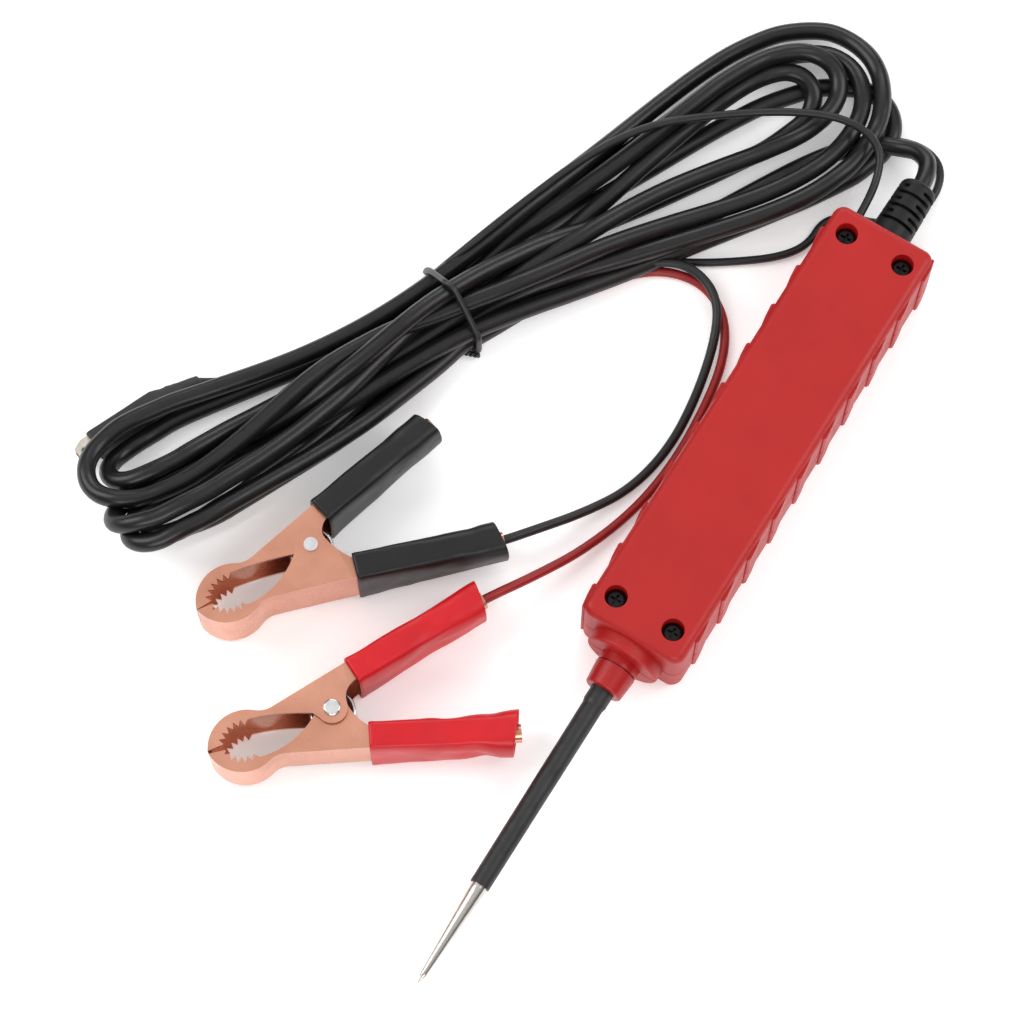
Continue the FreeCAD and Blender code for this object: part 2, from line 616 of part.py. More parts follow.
def split_sleeve():
    """Heat-shrink sleeve where the main cable divides into the red and black leads."""
    heading = V(-0.9, 0.42, 0)
    return Part.makeCylinder(3.1, 16.0, V(24.0, -100.5, 3.6), heading)


# ---------------------------------------------------------------- battery clamp
def handle_directions():
    """Unit vectors along the handle, away from the rivet, and square to its back."""
    slope = math.radians(HANDLE_SLOPE)
    return V(-math.cos(slope), math.sin(slope), 0), V(math.sin(slope), math.cos(slope), 0)


def handle_point(x):
    """Point of the handle's back line at a distance x along the clamp."""
    along = handle_directions()[0]
    on_handle = tangent_points(0)[2]
    return on_handle + along * ((x - on_handle.x) / along.x)


def tangent_points(inset):
    """Where the waist arc meets the bulge and the straight handle, for a curve inset by a distance."""
    along, normal = handle_directions()
    centre = V(BULGE_CENTRE[0], BULGE_CENTRE[1], 0)
    rise = HANDLE_OFFSET + WAIST_RADIUS - centre.dot(normal)
    run = math.sqrt((BULGE_RADIUS + WAIST_RADIUS) ** 2 - rise ** 2)
    waist = centre + normal * rise + along * run
    to_bulge = (centre - waist).normalize()
    on_bulge = centre - to_bulge * (BULGE_RADIUS - inset)
    on_handle = waist - normal * (WAIST_RADIUS + inset)
    between = (to_bulge - normal).normalize()
    on_waist = waist + between * (WAIST_RADIUS + inset)
    return on_bulge, on_waist, on_handle, along


def bulge_point(radius, degrees):
    angle = math.radians(degrees)
    return V(BULGE_CENTRE[0] + radius * math.cos(angle), BULGE_CENTRE[1] + radius * math.sin(angle), 0)


def web_edges(inset, first_angle, end_x):
    """Edges of the half's back, from the jaw tip along bulge and waist to the handle's end."""
    on_bulge, on_waist, on_handle, along = tangent_points(inset)
    first = bulge_point(BULGE_RADIUS - inset, first_angle)
    top = bulge_point(BULGE_RADIUS - inset, 60)
    end = on_handle + along * ((end_x - on_handle.x) / along.x)
    edges = [Part.Arc(first, top, on_bulge).toShape(),
             Part.Arc(on_bulge, on_waist, on_handle).toShape(),
             Part.LineSegment(on_handle, end).toShape()]
    return edges, first, end


def polyline(points):
    return [Part.LineSegment(a, b).toShape() for a, b in zip(points, points[1:])]


def tooth_points():
    points = []
    for i in range(TOOTH_COUNT):
        start = TOOTH_START + i * TOOTH_PITCH
        points.append(bulge_point(TOOTH_ROOT_RADIUS, start))
        points.append(bulge_point(TOOTH_TIP_RADIUS, start + 0.5 * TOOTH_PITCH))
    points.append(bulge_point(TOOTH_ROOT_RADIUS, TOOTH_START + TOOTH_COUNT * TOOTH_PITCH))
    return points


def half_outline(rivet, handle_end):
    """Side plate of one clamp half: back, handle, ear round the rivet, mouth edge and teeth."""
    edges, first, end = web_edges(0, 13.0, handle_end)
    inner_end = end - handle_directions()[1] * HANDLE_WIDTH
    ear_top = V(-8.4, 6.3, 0)
    ear_back = rivet + V(-EAR_RADIUS, 0, 0)
    ear_front = rivet + V(3.5, -math.sqrt(EAR_RADIUS ** 2 - 3.5 ** 2), 0)
    throat = rivet + V(4.7, 0.15, 0)
    teeth = tooth_points()
    edges += polyline([end, inner_end, ear_top])
    edges.append(Part.Arc(ear_top, rivet + V(-4.9, 3.4, 0), ear_back).toShape())
    edges.append(Part.Arc(ear_back, rivet + V(0, -EAR_RADIUS, 0), ear_front).toShape())
    edges += polyline([ear_front, throat])
    edges.append(Part.Arc(throat, V(12.0, 3.7, 0), teeth[-1]).toShape())
    edges += polyline(teeth[::-1] + [first])
    return Part.Face(Part.Wire(Part.__sortEdges__(edges)))


def channel_room(handle_end):
    """Everything on the mouth side of the half's back sheet, as seen in plan."""
    edges, first, end = web_edges(SHEET, -40.0, handle_end - 8)
    edges += polyline([end, V(end.x, -40, 0), V(first.x, -40, 0), first])
    return Part.Face(Part.Wire(Part.__sortEdges__(edges)))


def handle_wedges(gap):
    """Blocks that taper the handle's height towards its end."""
    half = JAW_HEIGHT / 2 - gap
    reach = 60.0
    wedges = []
    start = HANDLE_TAPER_START_X
    for s in (-1, 1):
        corners = [V(start, -40, s * half), V(start - reach, -40, s * (half - HANDLE_TAPER * reach)),
                   V(start - reach, -40, s * (half + 9)), V(start, -40, s * (half + 9))]
        wedges.append(Part.Face(Part.makePolygon(corners + corners[:1])).extrude(V(0, 80, 0)))
    return wedges


def crimp_barrel(handle_end):
    """Open-seam barrel rolled from the handle's end round the lead."""
    along, normal = handle_directions()
    centre = handle_point(handle_end) - normal * (SHEET + CRIMP_RADIUS - 0.5) - along * 2.2
    barrel = Part.makeCylinder(CRIMP_RADIUS, CRIMP_LENGTH, centre, along)
    bore = Part.makeCylinder(LEAD_DIAMETER / 2 + FIT, CRIMP_LENGTH + 2, centre - along, along)
    slot = Part.makeBox(9, 6, 0.5, V(-1, -6, -0.25))
    slot.rotate(V(0, 0, 0), V(0, 0, 1), 180 - HANDLE_SLOPE)
    slot.rotate(V(0, 0, 0), along, 180)
    slot.translate(centre)
    return barrel.cut(bore).cut(slot), centre + along * CRIMP_LENGTH


def clamp_half(nested, rivet, handle_end):
    """One stamped half, back towards +Y, mid-height at z = 0, holed for the rivet."""
    inset = SHEET + NEST_GAP if nested else 0.0
    half = JAW_HEIGHT / 2 - inset
    plate = half_outline(rivet, handle_end).extrude(V(0, 0, 2 * half))
    plate.translate(V(0, 0, -half))
    plate = cut(plate, handle_wedges(0))
    room = channel_room(handle_end).extrude(V(0, 0, 2 * (half - SHEET)))
    room.translate(V(0, 0, SHEET - half))
    room = cut(room, handle_wedges(SHEET))
    rivet_hole = Part.makeCylinder(RIVET_RADIUS + FIT, 40, rivet - V(0, 0, 20))
    return fuse([plate.cut(room), crimp_barrel(handle_end)[0]]).cut(rivet_hole)


def section_wire(x, width, height, radius):
    y = width / 2
    z = height / 2
    k = radius * (1 - math.sqrt(0.5))
    quarter = [(1, 1), (-1, 1), (-1, -1), (1, -1)]
    arcs = []
    for i, (sy, sz) in enumerate(quarter):
        side = V(x, sy * y, sz * (z - radius))
        lid = V(x, sy * (y - radius), sz * z)
        middle = V(x, sy * (y - k), sz * (z - k))
        arcs.append((side, middle, lid) if i % 2 == 0 else (lid, middle, side))
    edges = []
    for i, (entry, middle, leave) in enumerate(arcs):
        edges.append(Part.Arc(entry, middle, leave).toShape())
        edges.append(Part.LineSegment(leave, arcs[(i + 1) % 4][0]).toShape())
    return Part.Wire(edges)


def handle_sleeve(start_x, length):
    """PVC sleeve: flat where it grips the channel, rounder at its open end."""
    outer = Part.makeLoft([section_wire(0, 7.3, 16.6, 2.4), section_wire(-length, 8.8, 10.6, 4.0)],
                          True, True)
    inner = Part.makeLoft([section_wire(0.5, 5.6, 15.0, 1.5),
                           section_wire(-length - 0.5, 7.1, 8.9, 3.2)], True, True)
    sleeve = outer.cut(inner)
    sleeve.rotate(V(0, 0, 0), V(0, 0, 1), -HANDLE_SLOPE)
    sleeve.translate(handle_point(-start_x) - handle_directions()[1] * (HANDLE_WIDTH / 2 + 0.05))
    return sleeve


def clamp_rivet():
    reach = JAW_HEIGHT / 2
    shaft = Part.makeCylinder(RIVET_RADIUS, JAW_HEIGHT, V(0, 0, -reach))
    head = Part.makeCylinder(2.1, 0.85, V(0, 0, -reach - 0.85))
    head = head.makeFillet(0.5, [e for e in head.Edges if abs(e.CenterOfMass.z + reach + 0.85) < 1e-3])
    peened = Part.makeCylinder(1.75, 0.6, V(0, 0, reach))
    return fuse([shaft, head, peened])


def clamp_spring(rivet):
    """Torsion spring: stacked coils round the rivet and a leg along each handle."""
    pitch = 2 * SPRING_WIRE_RADIUS
    low = -pitch * (SPRING_COILS - 1) / 2
    coils = [Part.makeTorus(SPRING_COIL_RADIUS, SPRING_WIRE_RADIUS + 0.04, V(0, 0, low + i * pitch))
             for i in range(SPRING_COILS)]
    legs = []
    for s in (-1, 1):
        foot = V(-14.0, s * 9.7, s * low)
        touch = rivet + V(-0.5, s * SPRING_COIL_RADIUS, s * low)
        legs.append(Part.makeCylinder(SPRING_WIRE_RADIUS, (foot - touch).Length, touch, foot - touch))
    return fuse([coil.translated(rivet) for coil in coils] + legs)


def turn_over(shape):
    turned = shape.copy()
    turned.rotate(V(0, 0, 0), V(1, 0, 0), 180)
    return turned


def mirror_half(shape):
    return shape.mirror(V(0, 0, 0), V(0, 1, 0))


def place_clamp(shape, place, flipped):
    x, y, angle = place[:3]
    moved = turn_over(shape) if flipped else shape.copy()
    moved.rotate(V(0, 0, 0), V(0, 0, 1), angle)
    moved.translate(V(x, y, JAW_FLOOR_GAP + JAW_HEIGHT / 2))
    return moved


def save_clamp(colour, place, flipped):
    rivet = V(place[3], place[4], 0)
    mirrored_rivet = V(place[3], -place[4], 0)
    lead_sleeve = handle_sleeve(LEAD_SLEEVE_START, LEAD_SLEEVE_LENGTH)
    moving_sleeve = handle_sleeve(MOVING_SLEEVE_START, MOVING_SLEEVE_LENGTH)
    pieces = {"lead_jaw": clamp_half(False, rivet, LEAD_HANDLE_END_X),
              "moving_jaw": mirror_half(clamp_half(True, mirrored_rivet, MOVING_HANDLE_END_X)),
              "rivet": clamp_rivet().translated(rivet), "spring": clamp_spring(rivet),
              "lead_sleeve": lead_sleeve, "moving_sleeve": mirror_half(moving_sleeve)}
    for piece, shape in pieces.items():
        save(colour + "_clamp_" + piece, place_clamp(shape, place, flipped))


def lead_entry(place, flipped):
    """Centre of the crimp barrel's outer end, and a point inside the barrel."""
    mouth = crimp_barrel(LEAD_HANDLE_END_X)[1]
    deep = mouth - handle_directions()[0] * (CRIMP_LENGTH - 0.4)
    ends = []
    for point in (mouth, deep):
        spot = place_clamp(Part.Vertex(point), place, flipped).Point
        ends.append((spot.x, spot.y, spot.z))
    return ends


# ---------------------------------------------------------------- ground clip
def clip_half(nested):
    """Small alligator jaw with its back towards +Y and mid-height at z = 0."""
    half = CLIP_HEIGHT / 2 - (CLIP_SHEET + 0.1 if nested else 0.0)
    back = CLIP_HALF_WIDTH
    outline = [(CLIP_TIP_X, 0.1), (CLIP_TIP_X, 1.5), (CLIP_TIP_X - 2.5, back), (9.0, back), (4.0, 2.4),
               (CLIP_HANDLE_X, 2.4), (CLIP_HANDLE_X, 1.9), (-2.6, 1.9), (-1.7, -0.9), (0, -1.8),
               (1.7, -0.9), (3.4, 0.6)]
    teeth = 6
    pitch = (CLIP_TIP_X - 3.4) / teeth
    for i in range(teeth):
        outline.append((3.4 + (i + 0.5) * pitch, 0.1))
        if i < teeth - 1:
            outline.append((3.4 + (i + 1) * pitch, 0.75))
    plate = prism(outline, -half, half)
    room = prism([(CLIP_TIP_X + 1, -6), (CLIP_TIP_X + 1, 1.0), (CLIP_TIP_X - 2.8, back - CLIP_SHEET),
                  (9.0, back - CLIP_SHEET), (4.0, 1.9), (-14.0, 1.9), (-14.0, -6)],
                 CLIP_SHEET - half, half - CLIP_SHEET)
    hole = Part.makeCylinder(0.7 + FIT, 20, V(0, 0, -10))
    return plate.cut(room).cut(hole)


def place_clip(shape):
    x, y, angle = CLIP_POSITION
    shape.rotate(V(0, 0, 0), V(0, 0, 1), angle)
    shape.translate(V(x, y, CLIP_MID_Z))
    return shape


def clip_boot():
    """Soft boot: a sleeve over the jaws and a tapered neck round the lead."""
    main = rounded_block(BOOT_BACK_X, BOOT_FRONT_X, -BOOT_WIDTH / 2, BOOT_WIDTH / 2,
                         -BOOT_HEIGHT / 2, BOOT_HEIGHT / 2, 0.9)
    neck = cone(BOOT_NECK_X, BOOT_BACK_X + 0.5, 1.9, 2.6, 0, 0)
    room = box(BOOT_BACK_X + 0.6, BOOT_FRONT_X + 1, BOOT_WALL - BOOT_WIDTH / 2, BOOT_WIDTH / 2 - BOOT_WALL,
               BOOT_WALL - BOOT_HEIGHT / 2, BOOT_HEIGHT / 2 - BOOT_WALL)
    return fuse([main, neck]).cut(room)


def clip_spring():
    coils = [Part.makeTorus(1.25, 0.3, V(0, 0, z)) for z in (-0.55, 0.0, 0.55)]
    return fuse(coils)


def save_ground_clip():
    pin = Part.makeCylinder(0.7, CLIP_HEIGHT + 0.3, V(0, 0, -CLIP_HEIGHT / 2 - 0.15))
    save("ground_clip_lead_jaw", place_clip(clip_half(False)))
    save("ground_clip_moving_jaw", place_clip(mirror_half(clip_half(True))))
    save("ground_clip_pin", place_clip(pin))
    save("ground_clip_spring", place_clip(clip_spring()))
    save("ground_clip_boot", place_clip(clip_boot()))


# ---------------------------------------------------------------- all pieces
def save_tester():
    shell = housing_shell()
    save("back_cover", back_cover(shell))
    save("front_cover", front_cover(shell))
    save("cover_screws", cover_screws())
    save("probe_collar", probe_collar())
    save("probe_sleeve", probe_sleeve())
    save("probe_rod", probe_rod())
    save("probe_socket", probe_socket())
    save("strain_relief", strain_relief())
    save("circuit_board", circuit_board())
    save("led_red", indicator_led(led_rows()[0]))
    save("led_green", indicator_led(led_rows()[1]))
    save("rocker_base", rocker_base())
    save("rocker_button", rocker_button())
    save("rocker_pin", rocker_pin())
    save("rocker_spring", rocker_spring())
    save("buzzer", buzzer())
    save("capacitor", capacitor())
    save("power_transistors", power_transistors())
    save("control_chips", control_chips())
    save("resettable_fuse", resettable_fuse())
    save("inner_wires", inner_wires())


def save_cords():
    save("main_cable_tail", cord_tube("main_cable_tail", MAIN_TAIL, MAIN_DIAMETER))
    save("cable_hank", cable_hank())
    save("twist_tie", twist_tie())
    save("cable_split_sleeve", split_sleeve())
    save("ground_lead_upper", cord_tube("ground_lead_upper", GROUND_UPPER, THIN_DIAMETER))
    save("ground_lead_lower", cord_tube("ground_lead_lower", GROUND_LOWER, THIN_DIAMETER))
    save("ground_lead_clip_end", cord_tube("ground_lead_clip_end", GROUND_CLIP_LEAD, THIN_DIAMETER))
    black = BLACK_LEAD + lead_entry(BLACK_CLAMP, False)
    red = RED_LEAD + lead_entry(RED_CLAMP, True)
    save("black_lead", cord_tube("black_lead", black, LEAD_DIAMETER))
    save("red_lead", cord_tube("red_lead", red, LEAD_DIAMETER))


os.makedirs("parts", exist_ok=True)
save_tester()
save_cords()
save_clamp("red", RED_CLAMP, True)
save_clamp("black", BLACK_CLAMP, False)
save_ground_clip()
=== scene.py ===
import math

import bmesh
import bpy
import numpy as np
from mathutils import Matrix, Vector, noise


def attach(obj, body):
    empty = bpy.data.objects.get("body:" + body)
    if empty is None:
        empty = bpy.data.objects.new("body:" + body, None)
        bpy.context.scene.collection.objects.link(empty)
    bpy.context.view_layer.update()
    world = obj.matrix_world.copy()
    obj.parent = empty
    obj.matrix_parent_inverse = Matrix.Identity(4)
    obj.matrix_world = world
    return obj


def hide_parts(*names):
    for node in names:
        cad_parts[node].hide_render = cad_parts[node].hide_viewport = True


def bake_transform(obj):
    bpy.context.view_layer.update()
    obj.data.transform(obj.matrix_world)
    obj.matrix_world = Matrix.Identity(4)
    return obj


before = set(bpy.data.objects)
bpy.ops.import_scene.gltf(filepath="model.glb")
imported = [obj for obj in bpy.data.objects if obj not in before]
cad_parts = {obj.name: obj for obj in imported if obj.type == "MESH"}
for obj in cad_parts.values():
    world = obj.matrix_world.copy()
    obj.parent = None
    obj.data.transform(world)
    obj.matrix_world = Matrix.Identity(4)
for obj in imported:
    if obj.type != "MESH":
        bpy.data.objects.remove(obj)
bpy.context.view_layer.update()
scene = bpy.context.scene
MM = 0.001


def metres(points):
    return [Vector(p) * MM for p in points]


def add_object(name, data, mat):
    obj = bpy.data.objects.new(name, data)
    scene.collection.objects.link(obj)
    data.materials.append(mat)
    return obj


# ------------------------------------------------------------------ materials
def new_material(name):
    mat = bpy.data.materials.new(name)
    mat.use_nodes = True
    tree = mat.node_tree
    return mat, tree, tree.nodes["Principled BSDF"]


def noise_node(tree, scale, detail=3.0, stretch=(1, 1, 1)):
    coords = tree.nodes.new("ShaderNodeTexCoord")
    mapping = tree.nodes.new("ShaderNodeMapping")
    mapping.inputs["Scale"].default_value = stretch
    texture = tree.nodes.new("ShaderNodeTexNoise")
    texture.inputs["Scale"].default_value = scale
    texture.inputs["Detail"].default_value = detail
    tree.links.new(coords.outputs["Object"], mapping.inputs["Vector"])
    tree.links.new(mapping.outputs["Vector"], texture.inputs["Vector"])
    return texture


def finish_material(name, color, rough, metallic=0.0, vary=0.12, tone_scale=120, rough_vary=0.08,
                    bump=0.15, bump_scale=2500, bump_depth=0.00005, stretch=(1, 1, 1), coat=0.0,
                    coat_rough=0.15, specular=0.5, tint=None, aniso=0.0, second_bump=None):
    """Principled finish whose colour, roughness and relief each vary at a real scale."""
    mat, tree, shader = new_material(name)
    tone = noise_node(tree, tone_scale, 4.0, stretch)
    ramp = tree.nodes.new("ShaderNodeValToRGB")
    dark = [c * (1 - vary) for c in color]
    light = list(tint) if tint else [min(1.0, c * (1 + vary)) for c in color]
    ramp.color_ramp.elements[0].position = 0.3
    ramp.color_ramp.elements[1].position = 0.7
    ramp.color_ramp.elements[0].color = dark + [1]
    ramp.color_ramp.elements[1].color = light + [1]
    tree.links.new(tone.outputs["Fac"], ramp.inputs["Fac"])
    tree.links.new(ramp.outputs["Color"], shader.inputs["Base Color"])
    grain = noise_node(tree, tone_scale * 2.7, 2.0, stretch)
    spread = tree.nodes.new("ShaderNodeMapRange")
    spread.inputs["To Min"].default_value = max(0.02, rough - rough_vary)
    spread.inputs["To Max"].default_value = min(1.0, rough + rough_vary)
    tree.links.new(grain.outputs["Fac"], spread.inputs["Value"])
    tree.links.new(spread.outputs["Result"], shader.inputs["Roughness"])
    relief = noise_node(tree, bump_scale, 2.0, stretch)
    bump_node = tree.nodes.new("ShaderNodeBump")
    bump_node.inputs["Strength"].default_value = bump
    bump_node.inputs["Distance"].default_value = bump_depth
    tree.links.new(relief.outputs["Fac"], bump_node.inputs["Height"])
    last = bump_node
    if second_bump:
        scale, strength, depth = second_bump
        wave = noise_node(tree, scale, 1.0)
        soft = tree.nodes.new("ShaderNodeBump")
        soft.inputs["Strength"].default_value = strength
        soft.inputs["Distance"].default_value = depth
        tree.links.new(wave.outputs["Fac"], soft.inputs["Height"])
        tree.links.new(bump_node.outputs["Normal"], soft.inputs["Normal"])
        last = soft
    tree.links.new(last.outputs["Normal"], shader.inputs["Normal"])
    shader.inputs["Metallic"].default_value = metallic
    shader.inputs["Specular IOR Level"].default_value = specular
    shader.inputs["Coat Weight"].default_value = coat
    shader.inputs["Coat Roughness"].default_value = coat_rough
    shader.inputs["Anisotropic"].default_value = aniso
    return mat


RED_SHELL = finish_material("red_shell", (0.405, 0.0068, 0.0060), 0.44, vary=0.05, tone_scale=60,
                            bump=0.22, bump_scale=2600, specular=0.42)
COLLAR_RED = finish_material("collar_red", (0.36, 0.0050, 0.0048), 0.34, vary=0.06, bump=0.2,
                             specular=0.45)
CABLE = finish_material("cable_pvc", (0.0080, 0.0080, 0.0083), 0.34, vary=0.2, tone_scale=200, bump=0.15,
                        bump_scale=1500, bump_depth=0.00006, specular=0.42,
                        second_bump=(160, 0.10, 0.0006))
LEAD_BLACK = finish_material("lead_black", (0.012, 0.012, 0.013), 0.42, vary=0.2, tone_scale=300,
                             bump=0.3, bump_scale=2200, specular=0.42,
                             second_bump=(450, 0.15, 0.0003))
LEAD_RED = finish_material("lead_red", (0.27, 0.010, 0.010), 0.40, tone_scale=300, bump=0.3,
                           bump_scale=2200, specular=0.42, second_bump=(450, 0.15, 0.0003))
SLEEVE_RED = finish_material("sleeve_red", (0.55, 0.006, 0.012), 0.38, tone_scale=60, bump=0.2,
                             bump_scale=1600, specular=0.38, second_bump=(120, 0.15, 0.0008))
SLEEVE_BLACK = finish_material("sleeve_black", (0.0088, 0.0088, 0.0096), 0.40, vary=0.2, tone_scale=60,
                               bump=0.2, bump_scale=1600, specular=0.36,
                               second_bump=(120, 0.15, 0.0008))
SHRINK = finish_material("shrink_tube", (0.0125, 0.0115, 0.0115), 0.46, vary=0.2, tone_scale=200,
                         bump=0.3, bump_scale=1400, second_bump=(190, 0.35, 0.0009))
COPPER = finish_material("copper_plate", (0.68, 0.305, 0.205), 0.28, metallic=1.0, tone_scale=60,
                         tint=(0.80, 0.395, 0.275), bump=0.2, bump_scale=1800,
                         second_bump=(70, 0.12, 0.0012))
ZINC = finish_material("zinc_steel", (0.74, 0.74, 0.75), 0.26, metallic=1.0, vary=0.1, tone_scale=500,
                       bump=0.2)
PROBE = finish_material("probe_steel", (0.62, 0.575, 0.54), 0.24, metallic=1.0, tone_scale=500,
                        stretch=(0.06, 1, 1), bump=0.3, bump_scale=2600, rough_vary=0.07, aniso=0.4)
SCREW_BLACK = finish_material("black_screw", (0.012, 0.012, 0.013), 0.30, metallic=0.6, vary=0.3,
                              tone_scale=800, bump=0.4)
BLACK_PLASTIC = finish_material("black_plastic", (0.0070, 0.0070, 0.0074), 0.50, vary=0.2,
                                tone_scale=200, bump=0.35, bump_scale=2600, specular=0.3)
BRASS = finish_material("brass_part", (0.75, 0.55, 0.25), 0.28, metallic=1.0, tone_scale=300)
BOARD = finish_material("solder_mask", (0.02, 0.16, 0.07), 0.35, tone_scale=250, vary=0.25, coat=0.3)
COMPONENT = finish_material("component_black", (0.025, 0.025, 0.027), 0.55, tone_scale=500, bump=0.4)
FUSE = finish_material("fuse_yellow", (0.75, 0.50, 0.05), 0.4, tone_scale=200)
CAN = finish_material("capacitor_can", (0.78, 0.78, 0.80), 0.25, metallic=1.0, tone_scale=300)
TIE = finish_material("tie_black", (0.014, 0.014, 0.014), 0.40, vary=0.2, tone_scale=400, bump=0.3)
LED_RED = finish_material("led_red", (0.65, 0.02, 0.02), 0.12, vary=0.05, coat=0.5, bump=0.05)
LED_GREEN = finish_material("led_green", (0.03, 0.45, 0.08), 0.12, vary=0.05, coat=0.5, bump=0.05)
BOOT = finish_material("boot_black", (0.018, 0.018, 0.019), 0.50, vary=0.15, tone_scale=300, bump=0.3,
                       second_bump=(260, 0.3, 0.0006))
JAW_STEEL = finish_material("clip_steel", (0.60, 0.55, 0.48), 0.35, metallic=1.0, vary=0.2,
                            tone_scale=400)

NODE_FINISH = {
    "back_cover": RED_SHELL, "front_cover": RED_SHELL, "probe_collar": COLLAR_RED,
    "cover_screws": SCREW_BLACK, "probe_sleeve": SHRINK, "probe_rod": PROBE, "probe_socket": BRASS,
    "strain_relief": BLACK_PLASTIC, "circuit_board": BOARD, "led_red": LED_RED, "led_green": LED_GREEN,
    "rocker_base": COMPONENT, "rocker_button": BLACK_PLASTIC, "rocker_pin": ZINC, "rocker_spring": ZINC,
    "buzzer": COMPONENT, "capacitor": CAN, "power_transistors": COMPONENT, "control_chips": COMPONENT,
    "resettable_fuse": FUSE, "inner_wires": LEAD_RED,
    "ground_clip_lead_jaw": JAW_STEEL, "ground_clip_moving_jaw": JAW_STEEL, "ground_clip_pin": ZINC,
    "ground_clip_spring": ZINC,
}
for colour in ("red", "black"):
    for piece, mat in (("lead_jaw", COPPER), ("moving_jaw", COPPER), ("rivet", ZINC)):
        NODE_FINISH[colour + "_clamp_" + piece] = mat

for node, mat in NODE_FINISH.items():
    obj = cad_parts[node]
    obj.data.materials.clear()
    obj.data.materials.append(mat)


# ------------------------------------------------------------------ cords
CURVE_STEPS = 8             # straight pieces that each stretch of a spline is drawn with


def round_wire(name, radius, rounding):
    """Empty curve that gives its splines a round section, in millimetres."""
    curve = bpy.data.curves.new(name, "CURVE")
    curve.dimensions = "3D"
    curve.bevel_depth = radius * MM
    curve.bevel_resolution = rounding
    curve.use_fill_caps = True
    return curve


def add_spline(curve, points, closed=False, thickness=1.0, steps=CURVE_STEPS):
    """Smooth line with these control points."""
    spline = curve.splines.new("NURBS")
    spline.points.add(len(points) - 1)
    for control, p in zip(spline.points, metres(points)):
        control.co = (p.x, p.y, p.z, 1.0)
        control.radius = thickness
    spline.order_u = 3
    spline.use_cyclic_u = closed
    spline.use_endpoint_u = not closed
    spline.resolution_u = steps


def cord_curve(name, points, diameter, mat):
    curve = round_wire(name, diameter / 2, 6)
    add_spline(curve, points)
    obj = add_object(name, curve, mat)
    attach(obj, "tester")
    return obj


MAIN_DIAMETER = 4.7
THIN_DIAMETER = 2.1
LEAD_DIAMETER = 2.4

MAIN_TAIL = [(-120.0, 0.0, 10.8), (-126.4, -0.5, 10.1), (-130.2, -5.4, 7.4),
             (-129.3, -11.0, 4.8), (-126.5, -16.6, 3.4)]

# Folds of the hank in plan, each in the order that the cable's points come. A, B and C are at the end
# by the ground clip, and the R folds are at the end by the strain relief.
FOLD_A1 = [(-9, -97), (3, -101), (16.5, -104), (29.5, -108.5), (40.5, -114), (51, -120), (58, -125),
           (61.5, -130), (61.5, -137), (57, -141), (49.5, -141.5), (42.5, -139), (34, -133.5),
           (24, -126.5), (12, -117.5), (0.5, -109)]
FOLD_A2 = [(-7, -97), (7, -106), (14, -109), (28.5, -117), (43, -123.5), (53, -127.5), (57, -131.5),
           (56.5, -135.5), (53, -138), (47, -138.5), (38.5, -135), (28.5, -128.5), (12, -116.5),
           (2, -108), (-12, -98)]
FOLD_B = [(-8, -92), (7, -94), (21, -98.5), (35.5, -104), (46.5, -110), (56.5, -116),
          (63.5, -120.5), (66.5, -125), (66, -130), (61.5, -130.5), (55.5, -125), (48.5, -118),
          (37.5, -112.5), (24, -106), (10, -100)]
FOLD_C = [(-4, -81), (12, -87), (29, -97), (42, -104), (56, -110.5), (63, -116.5), (66.5, -121.5),
          (65.5, -126.5), (60, -125.5), (51, -116.5), (43, -112.5), (32, -107), (18.5, -100),
          (4, -93)]
FOLD_R1 = [(-69, -50), (-81, -43.5), (-90, -35), (-100, -26), (-109, -20), (-118, -16.5),
           (-127, -16), (-134, -18.5), (-140, -21), (-146, -25), (-150, -31), (-152, -39),
           (-150, -47), (-143.5, -53.5), (-132, -60.5), (-120, -65.5), (-100, -71.5)]
FOLD_R2 = [(-76, -53), (-84, -46), (-94, -37.5), (-106, -29), (-116, -23), (-125, -21.5),
           (-133, -23), (-139, -26), (-144, -30), (-146.5, -36), (-144, -43), (-138, -49),
           (-126, -56), (-112, -62.5), (-95, -68)]
FOLD_R3 = [(-81, -60), (-90, -53.5), (-100, -47.5), (-110, -41.5), (-120, -35.5), (-128, -30.5),
           (-134.5, -28.5), (-139.5, -29.5), (-142.5, -34), (-141, -41), (-136, -46.5),
           (-130, -50.5), (-117, -57), (-91, -66)]
FOLD_R4 = [(-80, -59), (-92, -53), (-104, -48), (-114, -43), (-123, -37.5), (-130, -33.5),
           (-135.5, -34.5), (-137, -39.5), (-132, -44), (-124, -49.5), (-113, -55), (-89, -64)]
FOLD_R5 = [(-69, -50), (-79, -43), (-90, -35), (-102, -28), (-113, -22.5), (-123, -17.5),
           (-131, -13.5), (-137, -12), (-142, -14.5), (-142.5, -20), (-139, -28), (-133, -36.5),
           (-126, -43), (-118, -49.5), (-108, -55), (-87, -63)]


def shifted(fold, dx, dy):
    return [(x + dx, y + dy) for x, y in fold]


TIE_POINT = Vector((-31.5, -85.5, 0))
TIE_ACROSS = Vector((-0.464, -0.886, 0))
LAYERS = (2.35, 6.45, 10.5)             # heights of the cable's centre line in the tie


def at_tie(across, layer):
    """Place of one pass of the cable in the tie, so far across the bundle and in that layer."""
    p = TIE_POINT + TIE_ACROSS * across
    return (p.x, p.y, LAYERS[layer])


def laid(fold, height, reverse=False):
    pts = [(x, y, height) for x, y in fold]
    return pts[::-1] if reverse else pts


